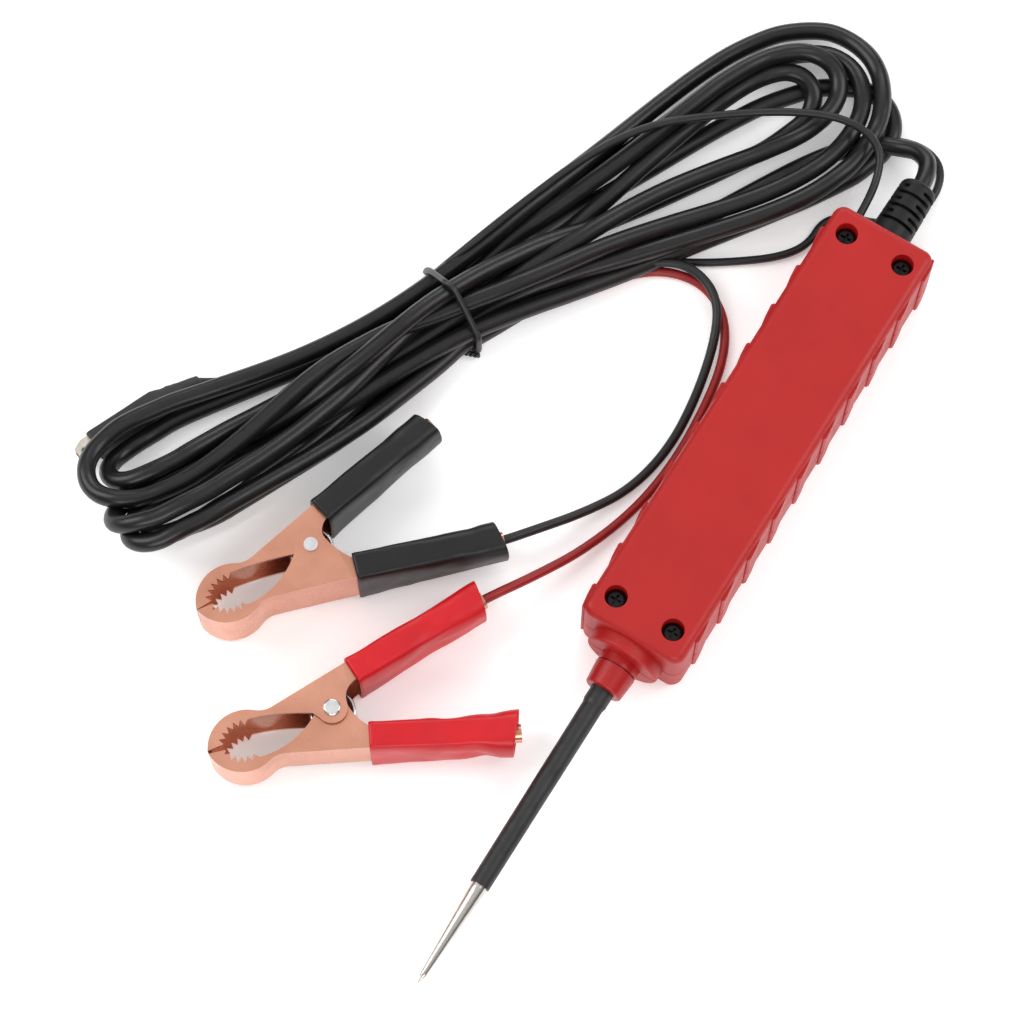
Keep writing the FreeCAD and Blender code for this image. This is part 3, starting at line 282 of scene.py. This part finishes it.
def hank_guide():
    """Rough path of the whole cable: fold after fold, each pass going through its place in the tie."""
    fold_d = shifted(FOLD_B, -5, 4)
    fold_e = shifted(FOLD_C, -7, -1)[:-4]
    passes = ((-9.4, 0, laid(FOLD_C, 4.0)), (-7.05, 1, laid(FOLD_R5, 3.0)), (2.35, 1, laid(FOLD_B, 5.0)),
              (0, 2, laid(FOLD_R4, 6.5)), (0, 0, laid(fold_d, 2.4)), (-2.35, 1, laid(FOLD_R3, 10.5)),
              (4.7, 0, laid(FOLD_A2, 5.5)), (9.4, 0, laid(FOLD_R2, 5.5, reverse=True)),
              (-4.7, 2, laid(FOLD_A1, 7.5)), (7.05, 1, laid(FOLD_R1, 8.5, reverse=True)),
              (-4.7, 0, laid(fold_e, 2.35)))
    path = MAIN_TAIL[:-1] + [(-126.0, -19.0, 2.4), (-117.0, -26.5, 2.35), (-104, -33.5, 2.35),
                             (-88, -42, 2.35), (-68, -55, 2.35)]
    for across, layer, fold in passes:
        path += [at_tie(across, layer)] + fold
    return path + [(28.6, -103.0, 3.2), (23.0, -100.1, 3.6), (18.0, -97.8, 3.6)]


def through(points, spacing, samples=12):
    """Even steps along a smooth path through the points."""
    pts = np.array(points, float)
    pts = np.vstack([2 * pts[0] - pts[1], pts, 2 * pts[-1] - pts[-2]])
    dense = []
    for i in range(1, len(pts) - 2):
        p0, p1, p2, p3 = pts[i - 1:i + 3]
        for t in np.linspace(0, 1, samples, endpoint=False):
            dense.append(0.5 * (2 * p1 + (p2 - p0) * t + (2 * p0 - 5 * p1 + 4 * p2 - p3) * t ** 2
                                + (3 * p1 - p0 - 3 * p2 + p3) * t ** 3))
    dense.append(pts[-2])
    dense = np.array(dense)
    along = np.concatenate([[0], np.cumsum(np.linalg.norm(np.diff(dense, axis=0), axis=1))])
    steps = np.linspace(0, along[-1], int(round(along[-1] / spacing)) + 1)
    return np.column_stack([np.interp(steps, along, dense[:, k]) for k in range(3)])


def push_out(points, start, end, radius):
    """Moves points out of a capsule round the line from start to end, upwards where they lie over it."""
    a, b = np.array(start, float), np.array(end, float)
    t = np.clip((points - a) @ (b - a) / ((b - a) @ (b - a)), 0, 1)
    away = points - (a + t[:, None] * (b - a))
    far = np.linalg.norm(away, axis=1)
    inside = far < radius
    away[inside, 2] += 0.5
    norm = np.linalg.norm(away, axis=1)[:, None]
    points[inside] += (away / norm)[inside] * (radius - far)[inside, None]


SPACING = 2.6               # between the points that settle, in millimetres
ROUNDS = 300
FIXED = 9                   # points at the strain relief that stay where the guide puts them
SINK = 0.06                 # fall under its own weight in each round
STIFFNESS = ((6, 0.12), (3, 0.12))      # how strongly bends even out, over so many steps
FOLD_BOW = 3.6              # rise of a 15.6 mm stretch of a fold bent at 7.5 mm radius
FOLD_CHORDS = ((2, 10.0), (3, 13.3), (4, 14.2))     # least widths of a fold, so many steps from its tip
APART = 6                   # points nearer than this along the cable may be closer than a diameter
TIE_HALF_WIDTH = 9.5
TIE_REACH = 8.0             # distance along the cable that the tie draws in, to each side
KEEP_OUT = (((17, -130, 3.2), (50, -143.4, 3.2), 3.5),      # ground clip's boot
            ((-120, 0, 10.8), (-90, 0, 10.8), 5.6),         # strain relief
            ((58, -97, 2), (58, -97, 16), 8.5))             # nose of the black clamp's open jaw


def bow_of(points, span):
    """How far each point's neighbours, so many steps away to each side, draw it from where it is."""
    return (points[:-2 * span] + points[2 * span:]) / 2 - points[span:-span]


def hold_of(home):
    """Pull towards the guide: weak near the tie and in tight folds, which find their own shape."""
    from_tie = np.linalg.norm(home[:, :2] - np.array(TIE_POINT)[:2], axis=1)
    tight = np.zeros(len(home))
    tight[3:-3] = np.linalg.norm(bow_of(home, 3), axis=1) / FOLD_BOW
    for _ in range(6):
        tight[1:-1] = np.maximum(tight[1:-1], np.maximum(tight[:-2], tight[2:]) * 0.97)
    return (0.04 + 0.30 * np.clip((from_tie - 25) / 40, 0, 1)) * np.clip(1.5 - tight, 0.06, 1)


def even_bends(points):
    """Evens out the bends, and opens a fold that is tighter than the cable can be."""
    for span, stiff in STIFFNESS:
        bow = bow_of(points, span)
        even = bow[span:-span] - (bow[:-2 * span] + bow[2 * span:]) / 2
        points[max(FIXED, 2 * span):-2 * span] += stiff * even[max(0, FIXED - 2 * span):]
    for span, chord in FOLD_CHORDS:
        width = points[2 * span:] - points[:-2 * span]
        size = np.linalg.norm(width, axis=1)
        width *= (0.2 * np.clip(chord - size, 0, None) / (size + 1e-9))[:, None]
        points[FIXED + 2 * span:] += width[FIXED:]
        points[FIXED:-2 * span] -= width[FIXED:]


def keep_length(points, rest):
    for _ in range(6):
        step = np.diff(points, axis=0)
        size = np.linalg.norm(step, axis=1)
        fix = step * (0.5 * (1 - rest / size))[:, None]
        points[:-1][FIXED:] += fix[FIXED:]
        points[1:][FIXED:] -= fix[FIXED:]


def part_strands(points, home, diameter):
    """Moves stretches of the cable apart where they overlap, the one laid higher upwards."""
    count = len(points)
    index = np.arange(count)
    gap = points[:, None, :] - points[None, :, :]
    far = np.sqrt((gap ** 2).sum(2))
    near = (far < diameter) & (np.abs(index[:, None] - index[None, :]) > APART)
    i, j = np.nonzero(near)
    keep = i < j
    i, j = i[keep], j[keep]
    way = gap[i, j].copy()
    way[:, 2] += np.sign(home[i, 2] - home[j, 2]) * 0.8
    way /= np.linalg.norm(way, axis=1)[:, None] + 1e-9
    shove = way * (0.45 * (diameter - far[i, j]))[:, None]
    total = np.zeros_like(points)
    hits = np.ones(count)
    np.add.at(total, i, shove)
    np.add.at(total, j, -shove)
    np.add.at(hits, i, 1)
    np.add.at(hits, j, 1)
    points[FIXED:] += (total / np.sqrt(hits)[:, None])[FIXED:]


def draw_in(points):
    """Draws the strands together where the tie goes round them."""
    across = np.array(TIE_ACROSS)[:2]
    offset = points[:, :2] - np.array(TIE_POINT)[:2]
    side = offset @ across
    tied = np.abs(offset @ np.array((-across[1], across[0]))) < TIE_REACH
    inwards = np.clip(side, -TIE_HALF_WIDTH, TIE_HALF_WIDTH) - side
    points[tied, :2] += 0.6 * (inwards[:, None] * across)[tied]


def settle(points, diameter):
    """Lets the folded cable settle: it keeps its length, and lies on the floor and on itself."""
    home = points.copy()
    hold = hold_of(home)
    rest = np.linalg.norm(np.diff(points, axis=0), axis=1)
    for turn in range(ROUNDS):
        if turn < ROUNDS * 0.8:
            points[FIXED:, 2] -= SINK
        pull = hold * (0.1 if turn > ROUNDS * 0.85 else 1.0)
        points[FIXED:, :2] += pull[FIXED:, None] * (home[FIXED:, :2] - points[FIXED:, :2])
        if turn <= ROUNDS * 0.4:
            points[FIXED:-1] += 0.15 * bow_of(points, 1)[FIXED - 1:]
        even_bends(points)
        keep_length(points, rest)
        part_strands(points, home, diameter)
        for start, end, radius in KEEP_OUT:
            push_out(points[FIXED:], start, end, radius + diameter / 2)
        draw_in(points)
        points[FIXED:, 2] = np.maximum(points[FIXED:, 2], diameter / 2 + 0.02)
    points[FIXED:-1] += 0.5 * bow_of(points, 1)[FIXED - 1:]
    return points


settled = settle(through(hank_guide(), SPACING), MAIN_DIAMETER)
main_points = MAIN_TAIL[:-1] + [tuple(p) for p in settled[FIXED + 2:-1:2]] + [tuple(settled[-1])]
main_cable = cord_curve("main_cable", main_points, MAIN_DIAMETER, CABLE)
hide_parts("main_cable_tail", "cable_hank")

GROUND_UPPER = [(-101.0, -9.2, 10.8), (-108.0, -9.4, 10.6), (-116.0, -10.4, 11.4), (-122.5, -13.2, 13.4),
                (-125.2, -20.0, 14.2), (-124.0, -29.0, 14.2), (-118.0, -41.0, 13.9),
                (-108.0, -55.0, 13.7), (-97.0, -67.5, 14.0), (-81.0, -76.6, 13.8),
                (-62.0, -83.6, 12.6), (-45.0, -89.6, 10.6), (-34.0, -94.4, 5.6)]
GROUND_LOWER = [(-128.6, -19.5, 1.6), (-132.6, -12.6, 1.3), (-134.4, -5.0, 1.1), (-131.5, 1.2, 1.1),
                (-124.0, 3.4, 1.1), (-115.5, 1.4, 1.1), (-109.6, -5.2, 1.1), (-107.6, -12.4, 1.1),
                (-103.2, -17.9, 1.1), (-95.2, -17.7, 1.1), (-88.5, -22.2, 1.1), (-81.4, -31.2, 1.1),
                (-75.2, -40.6, 1.1), (-69.8, -49.8, 1.6)]
GROUND_CLIP_LEAD = [(18.6, -129.3, 3.3), (16.4, -126.0, 2.6), (12.8, -122.0, 1.4), (7.0, -117.6, 1.2),
                    (0.6, -112.6, 1.2), (-4.6, -107.4, 1.2), (-8.6, -102.4, 1.2)]
BLACK_LEAD = [(-64.0, -53.6, 3.8), (-71.4, -46.8, 4.0), (-73.2, -37.8, 4.1), (-69.4, -29.4, 4.1),
              (-60.4, -24.6, 2.4), (-45.0, -20.9, 1.2), (-29.0, -19.5, 1.2), (-14.4, -22.4, 1.2),
              (-2.6, -29.2, 2.4), (7.4, -35.8, 5.8)]
RED_LEAD = [(-55.6, -58.8, 1.4), (-64.8, -52.2, 1.2), (-70.6, -43.8, 1.2), (-71.8, -34.2, 1.2),
            (-66.8, -25.4, 1.2), (-56.4, -19.8, 1.2), (-42.0, -17.4, 1.2), (-26.0, -16.6, 1.2),
            (-10.4, -18.6, 1.2), (5.4, -23.8, 2.4), (19.0, -30.5, 5.8)]

RED_CLAMP = (76.0, -51.9, -40.0)        # x, y and turn in degrees
BLACK_CLAMP = (44.5, -78.2, -30.0)
CLAMP_LEVEL = 8.8
BARREL_MOUTH = (-43.99, 17.71, 0.0)
BARREL_DEPTH = (-39.92, 16.68, 0.0)


def on_clamp(place, flipped, p):
    """Point of a clamp, given along its middle line, across it and above its mid-height."""
    x, y, angle = place
    side = -1 if flipped else 1
    turned = Matrix.Rotation(math.radians(angle), 3, "Z") @ Vector((p[0], side * p[1], side * p[2]))
    return (x + turned.x, y + turned.y, CLAMP_LEVEL + turned.z)


def barrel_end(place, flipped):
    """Outer end of the crimp barrel on a clamp's lead handle, and a point inside it."""
    return [on_clamp(place, flipped, BARREL_MOUTH), on_clamp(place, flipped, BARREL_DEPTH)]


black_points = BLACK_LEAD + barrel_end(BLACK_CLAMP, False)
red_points = RED_LEAD + barrel_end(RED_CLAMP, True)
black_lead = cord_curve("battery_lead_black", black_points, LEAD_DIAMETER, LEAD_BLACK)
red_lead = cord_curve("battery_lead_red", red_points, LEAD_DIAMETER, LEAD_RED)
ground_upper = cord_curve("ground_lead_over", GROUND_UPPER, THIN_DIAMETER, LEAD_BLACK)
ground_lower = cord_curve("ground_lead_under", GROUND_LOWER, THIN_DIAMETER, LEAD_BLACK)
ground_end = cord_curve("ground_lead_to_clip", GROUND_CLIP_LEAD, THIN_DIAMETER, LEAD_BLACK)
for cord, node, slot in ((black_lead, "black_lead", "black_pvc"), (red_lead, "red_lead", "red_pvc"),
                         (ground_upper, "ground_lead_upper", "cable_pvc"),
                         (ground_lower, "ground_lead_lower", "cable_pvc"),
                         (ground_end, "ground_lead_clip_end", "cable_pvc")):
    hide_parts(node)


# ------------------------------------------------------------------ tie
TIE_RADIUS = 0.8
RING_CENTRE = Vector((-31.4, -85.0, 0.0))
RING_ACROSS = Vector((0.438, 0.899, 0.0))
RING_ALONG = Vector((-0.899, 0.438, 0.0))
RING_POINTS = 24
TAIL_HEADING = Vector((-0.32, 0.947, 0.0))
TAIL_POINTS = 14
TAIL_STEP = 0.42            # advance between points of the twisted tail
TWIST_RADIUS = 0.42
TWIST = 1.15                # turn between points of the twisted tail, in radians
TAIL_THICKNESS = 0.55       # of each of its two wires, as a share of the ring's


def tie_ring():
    """Control points of the wire drawn tight round the strands, and its point nearest the viewer."""
    section = []
    for p in settled:
        offset = Vector(p) - RING_CENTRE
        if abs(offset.dot(RING_ALONG)) < 3.0:
            section.append((offset.dot(RING_ACROSS), p[2]))
    section = np.array(section)
    reach = MAIN_DIAMETER / 2 + TIE_RADIUS
    ring = []
    for k in range(RING_POINTS):
        angle = 2 * math.pi * k / RING_POINTS
        way = np.array((math.cos(angle), math.sin(angle)))
        place = section[(section @ way).argmax()] + way * reach
        spot = RING_CENTRE + RING_ACROSS * place[0] + RING_ALONG * (0.5 * math.sin(2 * angle))
        ring.append((spot.x, spot.y, max(place[1], TIE_RADIUS + 0.05)))
    near = RING_CENTRE + RING_ACROSS * (section[:, 0].max() + reach)
    return ring, near


def tie_wire():
    """Wire tie: one ring round the strands, and the tail its two ends are twisted into."""
    ring, near = tie_ring()
    curve = round_wire("tie_wire", TIE_RADIUS, 5)
    add_spline(curve, ring, closed=True)
    heading = TAIL_HEADING.normalized()
    side = heading.cross(Vector((0, 0, 1))).normalized()
    base = Vector((near.x + 2.6, near.y - 4.6, 1.5))
    for phase in (0.0, math.pi):
        tail = []
        for k in range(TAIL_POINTS):
            angle = phase + TWIST * k
            tail.append(base + heading * (TAIL_STEP * k) + side * (TWIST_RADIUS * math.cos(angle))
                        + Vector((0, 0, TWIST_RADIUS * math.sin(angle))))
        add_spline(curve, tail, thickness=TAIL_THICKNESS)
    obj = add_object("tie_wire", curve, TIE)
    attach(obj, "tester")
    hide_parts("twist_tie")


tie_wire()


# ------------------------------------------------------------------ lofted soft pieces
def mesh_piece(name, rings, mat, closed=True):
    """Quad mesh through a list of rings, smooth-shaded; the last ring joins the first when closed."""
    bm = bmesh.new()
    rows = [[bm.verts.new(Vector(p) * MM) for p in ring] for ring in rings]
    count = len(rows[0])
    pairs = list(zip(rows, rows[1:]))
    if closed:
        pairs.append((rows[-1], rows[0]))
    for low, high in pairs:
        for i in range(count):
            j = (i + 1) % count
            bm.faces.new((low[i], low[j], high[j], high[i]))
    if not closed:
        bm.faces.new(rows[0][::-1])
        bm.faces.new(rows[-1])
    bmesh.ops.recalc_face_normals(bm, faces=bm.faces)
    for face in bm.faces:
        face.smooth = True
    mesh = bpy.data.meshes.new(name)
    bm.to_mesh(mesh)
    bm.free()
    return add_object(name, mesh, mat)


def oval(width, height, power, steps):
    """Points of a rounded rectangle: power 2 is an ellipse, and a higher one has squarer corners."""
    points = []
    for k in range(steps):
        angle = 2 * math.pi * (k + 0.5) / steps
        c, s = math.cos(angle), math.sin(angle)
        points.append((math.copysign(abs(c) ** (2 / power), c) * width / 2,
                       math.copysign(abs(s) ** (2 / power), s) * height / 2))
    return points


HANDLE_SLOPE = math.radians(14.3)
HANDLE_RUN = 0.969          # cosine of that slope
HANDLE_OFFSET = 9.0
HANDLE_MIDDLE = 2.65
HANDLE_WIDTH = 5.35
SLEEVE_WALL = 0.85
SLEEVE_WIDTH = 7.5          # at the jaw's end
SLEEVE_HEIGHT = 17.2
SLEEVE_FALL = 5.2           # how much lower the sleeve is at its open end
SLEEVE_LIP = 0.06           # share of its length that stands proud at the jaw's end
SLEEVE_POINTS = 96
SLEEVE_ROWS = 90
LEAST_POWER = 30            # how sharply the skin takes over from the handle inside it
DENTS = 6


def wrinkle(t, angle, seed):
    """Outward push of a sleeve's skin in millimetres: soft dents, creases across it and fine waves."""
    push = 0.0
    for k in range(DENTS):
        middle = noise.cell_vector(Vector((seed, k, 0.5)))
        at = 0.08 + 0.84 * abs(middle.x)
        turn = 2 * math.pi * middle.y
        skew = 0.10 * middle.z
        away = math.remainder(angle - turn, 2 * math.pi)
        along = (t - at - skew * away) / (0.050 + 0.07 * abs(middle.z))
        push -= (0.25 + 0.35 * abs(middle.z)) * math.exp(-along ** 2 - (away / 1.2) ** 2)
    c, s = math.cos(angle), math.sin(angle)
    push += 0.28 * noise.noise(Vector((seed * 7.3 + 5.0 * t, 1.3 * c, 1.3 * s)))
    push += 0.05 * noise.noise(Vector((seed * 3.1 + 13.0 * t, 2.5 * c, 2.5 * s)))
    return push * min(1.0, 8 * t)


def oval_reach(angle, width, height, power):
    """Distance from the middle of a rounded rectangle to its edge, in the direction of the angle."""
    c, s = abs(math.cos(angle)) / (width / 2), abs(math.sin(angle)) / (height / 2)
    return (c ** power + s ** power) ** (-1 / power)


def clamp_sleeve(colour, piece, place, flipped, moving, start, length, mouth, seed, skew, mat):
    """PVC sleeve pulled over a clamp handle: boxy at the jaw, rounder and loose at its open end."""
    along = Vector((-math.cos(HANDLE_SLOPE), math.sin(HANDLE_SLOPE), 0))
    normal = Vector((math.sin(HANDLE_SLOPE), math.cos(HANDLE_SLOPE), 0))
    origin = normal * (HANDLE_OFFSET - HANDLE_MIDDLE)
    origin += along * ((-start - origin.x) / along.x)

    def grip_height(t):
        """Height of the flanged handle inside the sleeve."""
        return 2 * (7.8 - 0.1 * (start - 6.0 + HANDLE_RUN * length * t))

    def skin(t, inset):
        width = SLEEVE_WIDTH + (mouth - SLEEVE_WIDTH) * t ** 1.6 + 0.3 * math.sin(math.pi * t)
        width -= 2 * inset
        height = SLEEVE_HEIGHT - SLEEVE_FALL * t - 2 * inset
        if t < SLEEVE_LIP:
            width += 0.35 * (1 - t / SLEEVE_LIP)
            height += 0.30 * (1 - t / SLEEVE_LIP)
        power = 6.5 - 3.4 * min(1.0, t * 1.5)
        wall = 2 * (SLEEVE_WALL - inset)
        ring = []
        for u, v in oval(width, height, power, SLEEVE_POINTS):
            angle = math.atan2(v, u)
            size = math.hypot(u, v)
            least = oval_reach(angle, HANDLE_WIDTH + wall, grip_height(t) + wall, 9.0)
            size_wanted = size + wrinkle(t, angle, seed)
            wanted = (size_wanted ** LEAST_POWER + least ** LEAST_POWER) ** (1 / LEAST_POWER)
            u, v = u * wanted / size, v * wanted / size
            distance = length * t + skew * u * t ** 4
            q = origin + along * distance + normal * u + Vector((0, 0, v))
            ring.append(on_clamp(place, flipped, (q.x, -q.y if moving else q.y, q.z)))
        return ring

    ts = [k / (SLEEVE_ROWS - 1) for k in range(SLEEVE_ROWS)]
    rings = [skin(0.004, SLEEVE_WALL * 0.75), skin(0.002, 0.12)] + [skin(t, 0.0) for t in ts[2:-1]]
    rings += [skin(0.996, 0.04), skin(1.0, 0.22), skin(1.0, SLEEVE_WALL - 0.22),
              skin(0.994, SLEEVE_WALL)]
    rings += [skin(t, SLEEVE_WALL) for t in ts[-4:1:-3]]
    name = "_".join((colour, "clamp", piece))
    obj = mesh_piece("pvc_" + name, rings, mat)
    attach(obj, colour + "_clamp_jaw" if moving else "tester")
    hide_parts(name)


for colour, place, flipped, mat, seed in (("red", RED_CLAMP, True, SLEEVE_RED, 3.0),
                                          ("black", BLACK_CLAMP, False, SLEEVE_BLACK, 11.0)):
    clamp_sleeve(colour, "lead_sleeve", place, flipped, False, 7.6, 36.8, 9.3, seed, 0.22, mat)
    clamp_sleeve(colour, "moving_sleeve", place, flipped, True, 6.7, 35.6, 11.0 if flipped else 8.7,
                 seed + 4.0, -0.20, mat)


# ------------------------------------------------------------------ clamp springs
SPRING_RADIUS = 5.3
SPRING_WIRE = 0.55
SPRING_LEVEL = 4.6
SPRING_TURNS = 7.5
TURN_POINTS = 16
LEG_FOOT = (-14.0, 9.7)     # where a leg ends, along the clamp and across it
LEG_START = 1.5             # how far behind the rivet a leg leaves the coil


def torsion_spring(colour, place, flipped, rivet):
    """Wound wire round the rivet, with a leg running along the inside of each handle."""
    x, y = rivet
    foot_x, foot_y = LEG_FOOT
    top = (x - LEG_START, y + SPRING_RADIUS)
    low = (x - LEG_START, y - SPRING_RADIUS)
    path = [(foot_x + (top[0] - foot_x) * k / 4, foot_y + (top[1] - foot_y) * k / 4, -SPRING_LEVEL)
            for k in range(5)]
    count = int(SPRING_TURNS * TURN_POINTS)
    for k in range(1, count):
        angle = math.pi / 2 - 2 * math.pi * SPRING_TURNS * k / count
        path.append((x + SPRING_RADIUS * math.cos(angle), y + SPRING_RADIUS * math.sin(angle),
                     SPRING_LEVEL * (2 * k / count - 1)))
    path += [(low[0] + (foot_x - low[0]) * k / 4, low[1] + (-foot_y - low[1]) * k / 4, SPRING_LEVEL)
             for k in range(5)]
    name = colour + "_torsion_spring"
    curve = round_wire(name, SPRING_WIRE, 3)
    add_spline(curve, [on_clamp(place, flipped, p) for p in path], steps=4)
    pattern = add_object(name + "_path", curve, ZINC)
    bpy.context.view_layer.update()
    mesh = bpy.data.meshes.new_from_object(pattern.evaluated_get(bpy.context.evaluated_depsgraph_get()))
    bpy.data.objects.remove(pattern)
    mesh.materials.clear()
    obj = add_object(name, mesh, ZINC)
    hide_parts(colour + "_clamp_spring")
    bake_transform(obj)


torsion_spring("red", RED_CLAMP, True, (-0.4, 1.1))
torsion_spring("black", BLACK_CLAMP, False, (-0.8, -1.5))


# ------------------------------------------------------------------ ground clip boot and cable split
CLIP_TURN = Matrix.Rotation(math.radians(-22.0), 3, "Z")
CLIP_PLACE = Vector((37.2, -138.2, 3.4))
NECK_BEND = 1.5             # how far the neck of the boot leans to the lead's side


def on_clip(x, y, z):
    return CLIP_PLACE + CLIP_TURN @ Vector((x, y, z))


def clip_boot():
    """Soft boot: a boxy sleeve open at the jaws, drawn in to a ribbed neck round the lead."""
    # distance along the boot, width, height, and how square it is there
    outside = [(10.2, 6.5, 6.9, 6.5), (9.6, 6.6, 7.0, 6.5), (6.0, 6.4, 6.9, 6.5), (2.0, 6.5, 6.8, 6.2),
               (-2.0, 6.4, 6.8, 6.0), (-6.0, 6.5, 6.7, 5.5), (-8.6, 6.3, 6.5, 5.0),
               (-10.0, 5.9, 6.1, 4.5), (-11.2, 5.2, 5.5, 4.0), (-12.2, 4.9, 5.1, 3.4),
               (-13.0, 4.9, 5.0, 3.0), (-14.0, 4.5, 4.7, 2.6), (-15.0, 4.5, 4.6, 2.4),
               (-16.2, 4.1, 4.3, 2.2), (-17.2, 4.1, 4.2, 2.0), (-18.6, 3.8, 3.8, 2.0),
               (-20.0, 3.7, 3.7, 2.0), (-20.8, 3.5, 3.5, 2.0), (-21.0, 3.0, 3.0, 2.0),
               (-20.8, 2.3, 2.3, 2.0)]
    inside = [(-9.0, 2.5, 2.5, 2.0), (-8.0, 5.0, 5.4, 4.0), (0.0, 5.6, 6.0, 6.0), (9.6, 5.6, 6.0, 6.0),
              (10.3, 5.8, 6.2, 6.0), (10.4, 6.2, 6.6, 6.2)]
    rings = []
    for x, width, height, power in outside + inside:
        ring = []
        bend = NECK_BEND * (max(0.0, -8.0 - x) / 13.0) ** 2
        for u, v in oval(width, height, power, 64):
            ripple = 0.10 * noise.noise(Vector((0.45 * x, 0.8 * u, 0.8 * v)))
            ring.append(on_clip(x, bend + u * (1 + ripple), v * (1 + 0.3 * ripple)))
        rings.append(ring)
    obj = mesh_piece("clip_boot", rings, BOOT)
    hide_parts("ground_clip_boot")
    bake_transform(obj)


SPLIT_START = Vector((24.0, -100.5, 3.1))
SPLIT_LENGTH = 16.0
SPLIT_RADII = ((0.0, 2.42), (0.03, 2.55), (0.15, 2.6), (0.3, 2.75), (0.5, 2.8), (0.7, 2.6), (0.85, 2.3),
               (0.97, 2.2), (1.0, 2.05))


def split_sleeve():
    """Shrink sleeve over the place where the cable's two cores leave it, drawn down at both ends."""
    heading = Vector((-0.9, 0.42, 0)).normalized()
    side = Vector((0.42, 0.9, 0)).normalized()
    rings = []
    for t, radius in SPLIT_RADII:
        section = oval(2 * radius * (1 + 0.2 * t), 2 * radius * (1 - 0.15 * t), 2.0, 40)
        rings.append([SPLIT_START + heading * (SPLIT_LENGTH * t) + side * u + Vector((0, 0, v))
                      for u, v in section])
    obj = mesh_piece("split_shrink", rings, SHRINK, closed=False)
    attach(obj, "tester")
    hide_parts("cable_split_sleeve")


clip_boot()
split_sleeve()


# ------------------------------------------------------------------ rolled edges of the clamp plates
ROLLED_EDGE = 0.42
ROLL_ANGLE = math.radians(40)


def soften(node):
    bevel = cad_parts[node].modifiers.new("edge", "BEVEL")
    bevel.width = ROLLED_EDGE * MM
    bevel.segments = 3
    bevel.limit_method = "ANGLE"
    bevel.angle_limit = ROLL_ANGLE
    bevel.harden_normals = False


for colour in ("red", "black"):
    soften(colour + "_clamp_lead_jaw")
    soften(colour + "_clamp_moving_jaw")


# ------------------------------------------------------------------ floor, light and camera
# Camera's right, the floor direction that is up in the picture, and the floor point it looks at.
RIGHT = Vector((-0.5262, 0.8504, 0.0))
UP = Vector((-0.8504, -0.5262, 0.0))
CENTRE = Vector((0.0055, -0.04455, 0.0))
FLOOR_SIZE = 3.0
FLOOR_DROP = 0.0002
CAMERA_PLACE = Vector((0.23675, 0.09854, 0.83693))      # place and lens fitted to the photograph's view
CAMERA_LENS = 123.75


def floor():
    mesh = bpy.data.meshes.new("floor")
    bm = bmesh.new()
    bmesh.ops.create_grid(bm, x_segments=2, y_segments=2, size=FLOOR_SIZE)
    bm.to_mesh(mesh)
    bm.free()
    mat, _, shader = new_material("floor_white")
    shader.inputs["Base Color"].default_value = (0.93, 0.93, 0.93, 1)
    shader.inputs["Roughness"].default_value = 0.9
    shader.inputs["Specular IOR Level"].default_value = 0.1
    shader.inputs["Emission Color"].default_value = (1, 1, 1, 1)
    shader.inputs["Emission Strength"].default_value = 0.28
    obj = add_object("floor", mesh, mat)
    obj.location = (0, 0, -FLOOR_DROP)


def area_light(name, right, up, height, size, size_y, power):
    """Soft light that looks at CENTRE from so far right of it, up the picture and above it."""
    place = CENTRE + RIGHT * right + UP * up + Vector((0, 0, height))
    light = bpy.data.lights.new(name, "AREA")
    light.shape = "RECTANGLE"
    light.size = size
    light.size_y = size_y
    light.energy = power
    obj = bpy.data.objects.new(name, light)
    obj.location = place
    obj.rotation_mode = "QUATERNION"
    obj.rotation_quaternion = (CENTRE - place).to_track_quat("-Z", "Y")
    scene.collection.objects.link(obj)


def studio_world():
    """White surroundings, dark towards the horizon, so that metal has something to reflect."""
    world = bpy.data.worlds.new("studio")
    world.use_nodes = True
    tree = world.node_tree
    sky = tree.nodes["Background"]
    direction = tree.nodes.new("ShaderNodeTexCoord")
    parts = tree.nodes.new("ShaderNodeSeparateXYZ")
    shade = tree.nodes.new("ShaderNodeValToRGB")
    shade.color_ramp.elements[0].color = (0.10, 0.10, 0.10, 1)
    shade.color_ramp.elements[1].color = (1, 1, 1, 1)
    shade.color_ramp.elements[0].position = 0.25
    shade.color_ramp.elements[1].position = 0.98
    tree.links.new(direction.outputs["Generated"], parts.inputs["Vector"])
    tree.links.new(parts.outputs["Z"], shade.inputs["Fac"])
    tree.links.new(shade.outputs["Color"], sky.inputs["Color"])
    sky.inputs["Strength"].default_value = 0.70
    return world


def aim_camera():
    camera = bpy.data.cameras.new("camera")
    camera.sensor_width = 36
    camera.lens = CAMERA_LENS
    obj = bpy.data.objects.new("camera", camera)
    ahead = (CENTRE - CAMERA_PLACE).normalized()
    up = (-ahead).cross(RIGHT)
    turn = Matrix((RIGHT, up, -ahead)).transposed()
    obj.matrix_world = Matrix.Translation(CAMERA_PLACE) @ turn.to_4x4()
    scene.collection.objects.link(obj)
    scene.camera = obj


floor()
area_light("soft_left", -1.0, 0.25, 0.90, 0.7, 1.0, 9.0)
area_light("soft_right", 1.0, 0.10, 0.85, 0.6, 1.0, 6.5)
area_light("soft_front", 0.0, -1.15, 0.80, 1.2, 0.5, 8.5)
area_light("soft_back", 0.1, 1.20, 0.75, 1.0, 0.5, 5.5)
area_light("soft_top", -0.10, 0.24, 1.00, 0.5, 0.5, 0.22)
scene.world = studio_world()
scene.view_settings.view_transform = "Standard"
aim_camera()
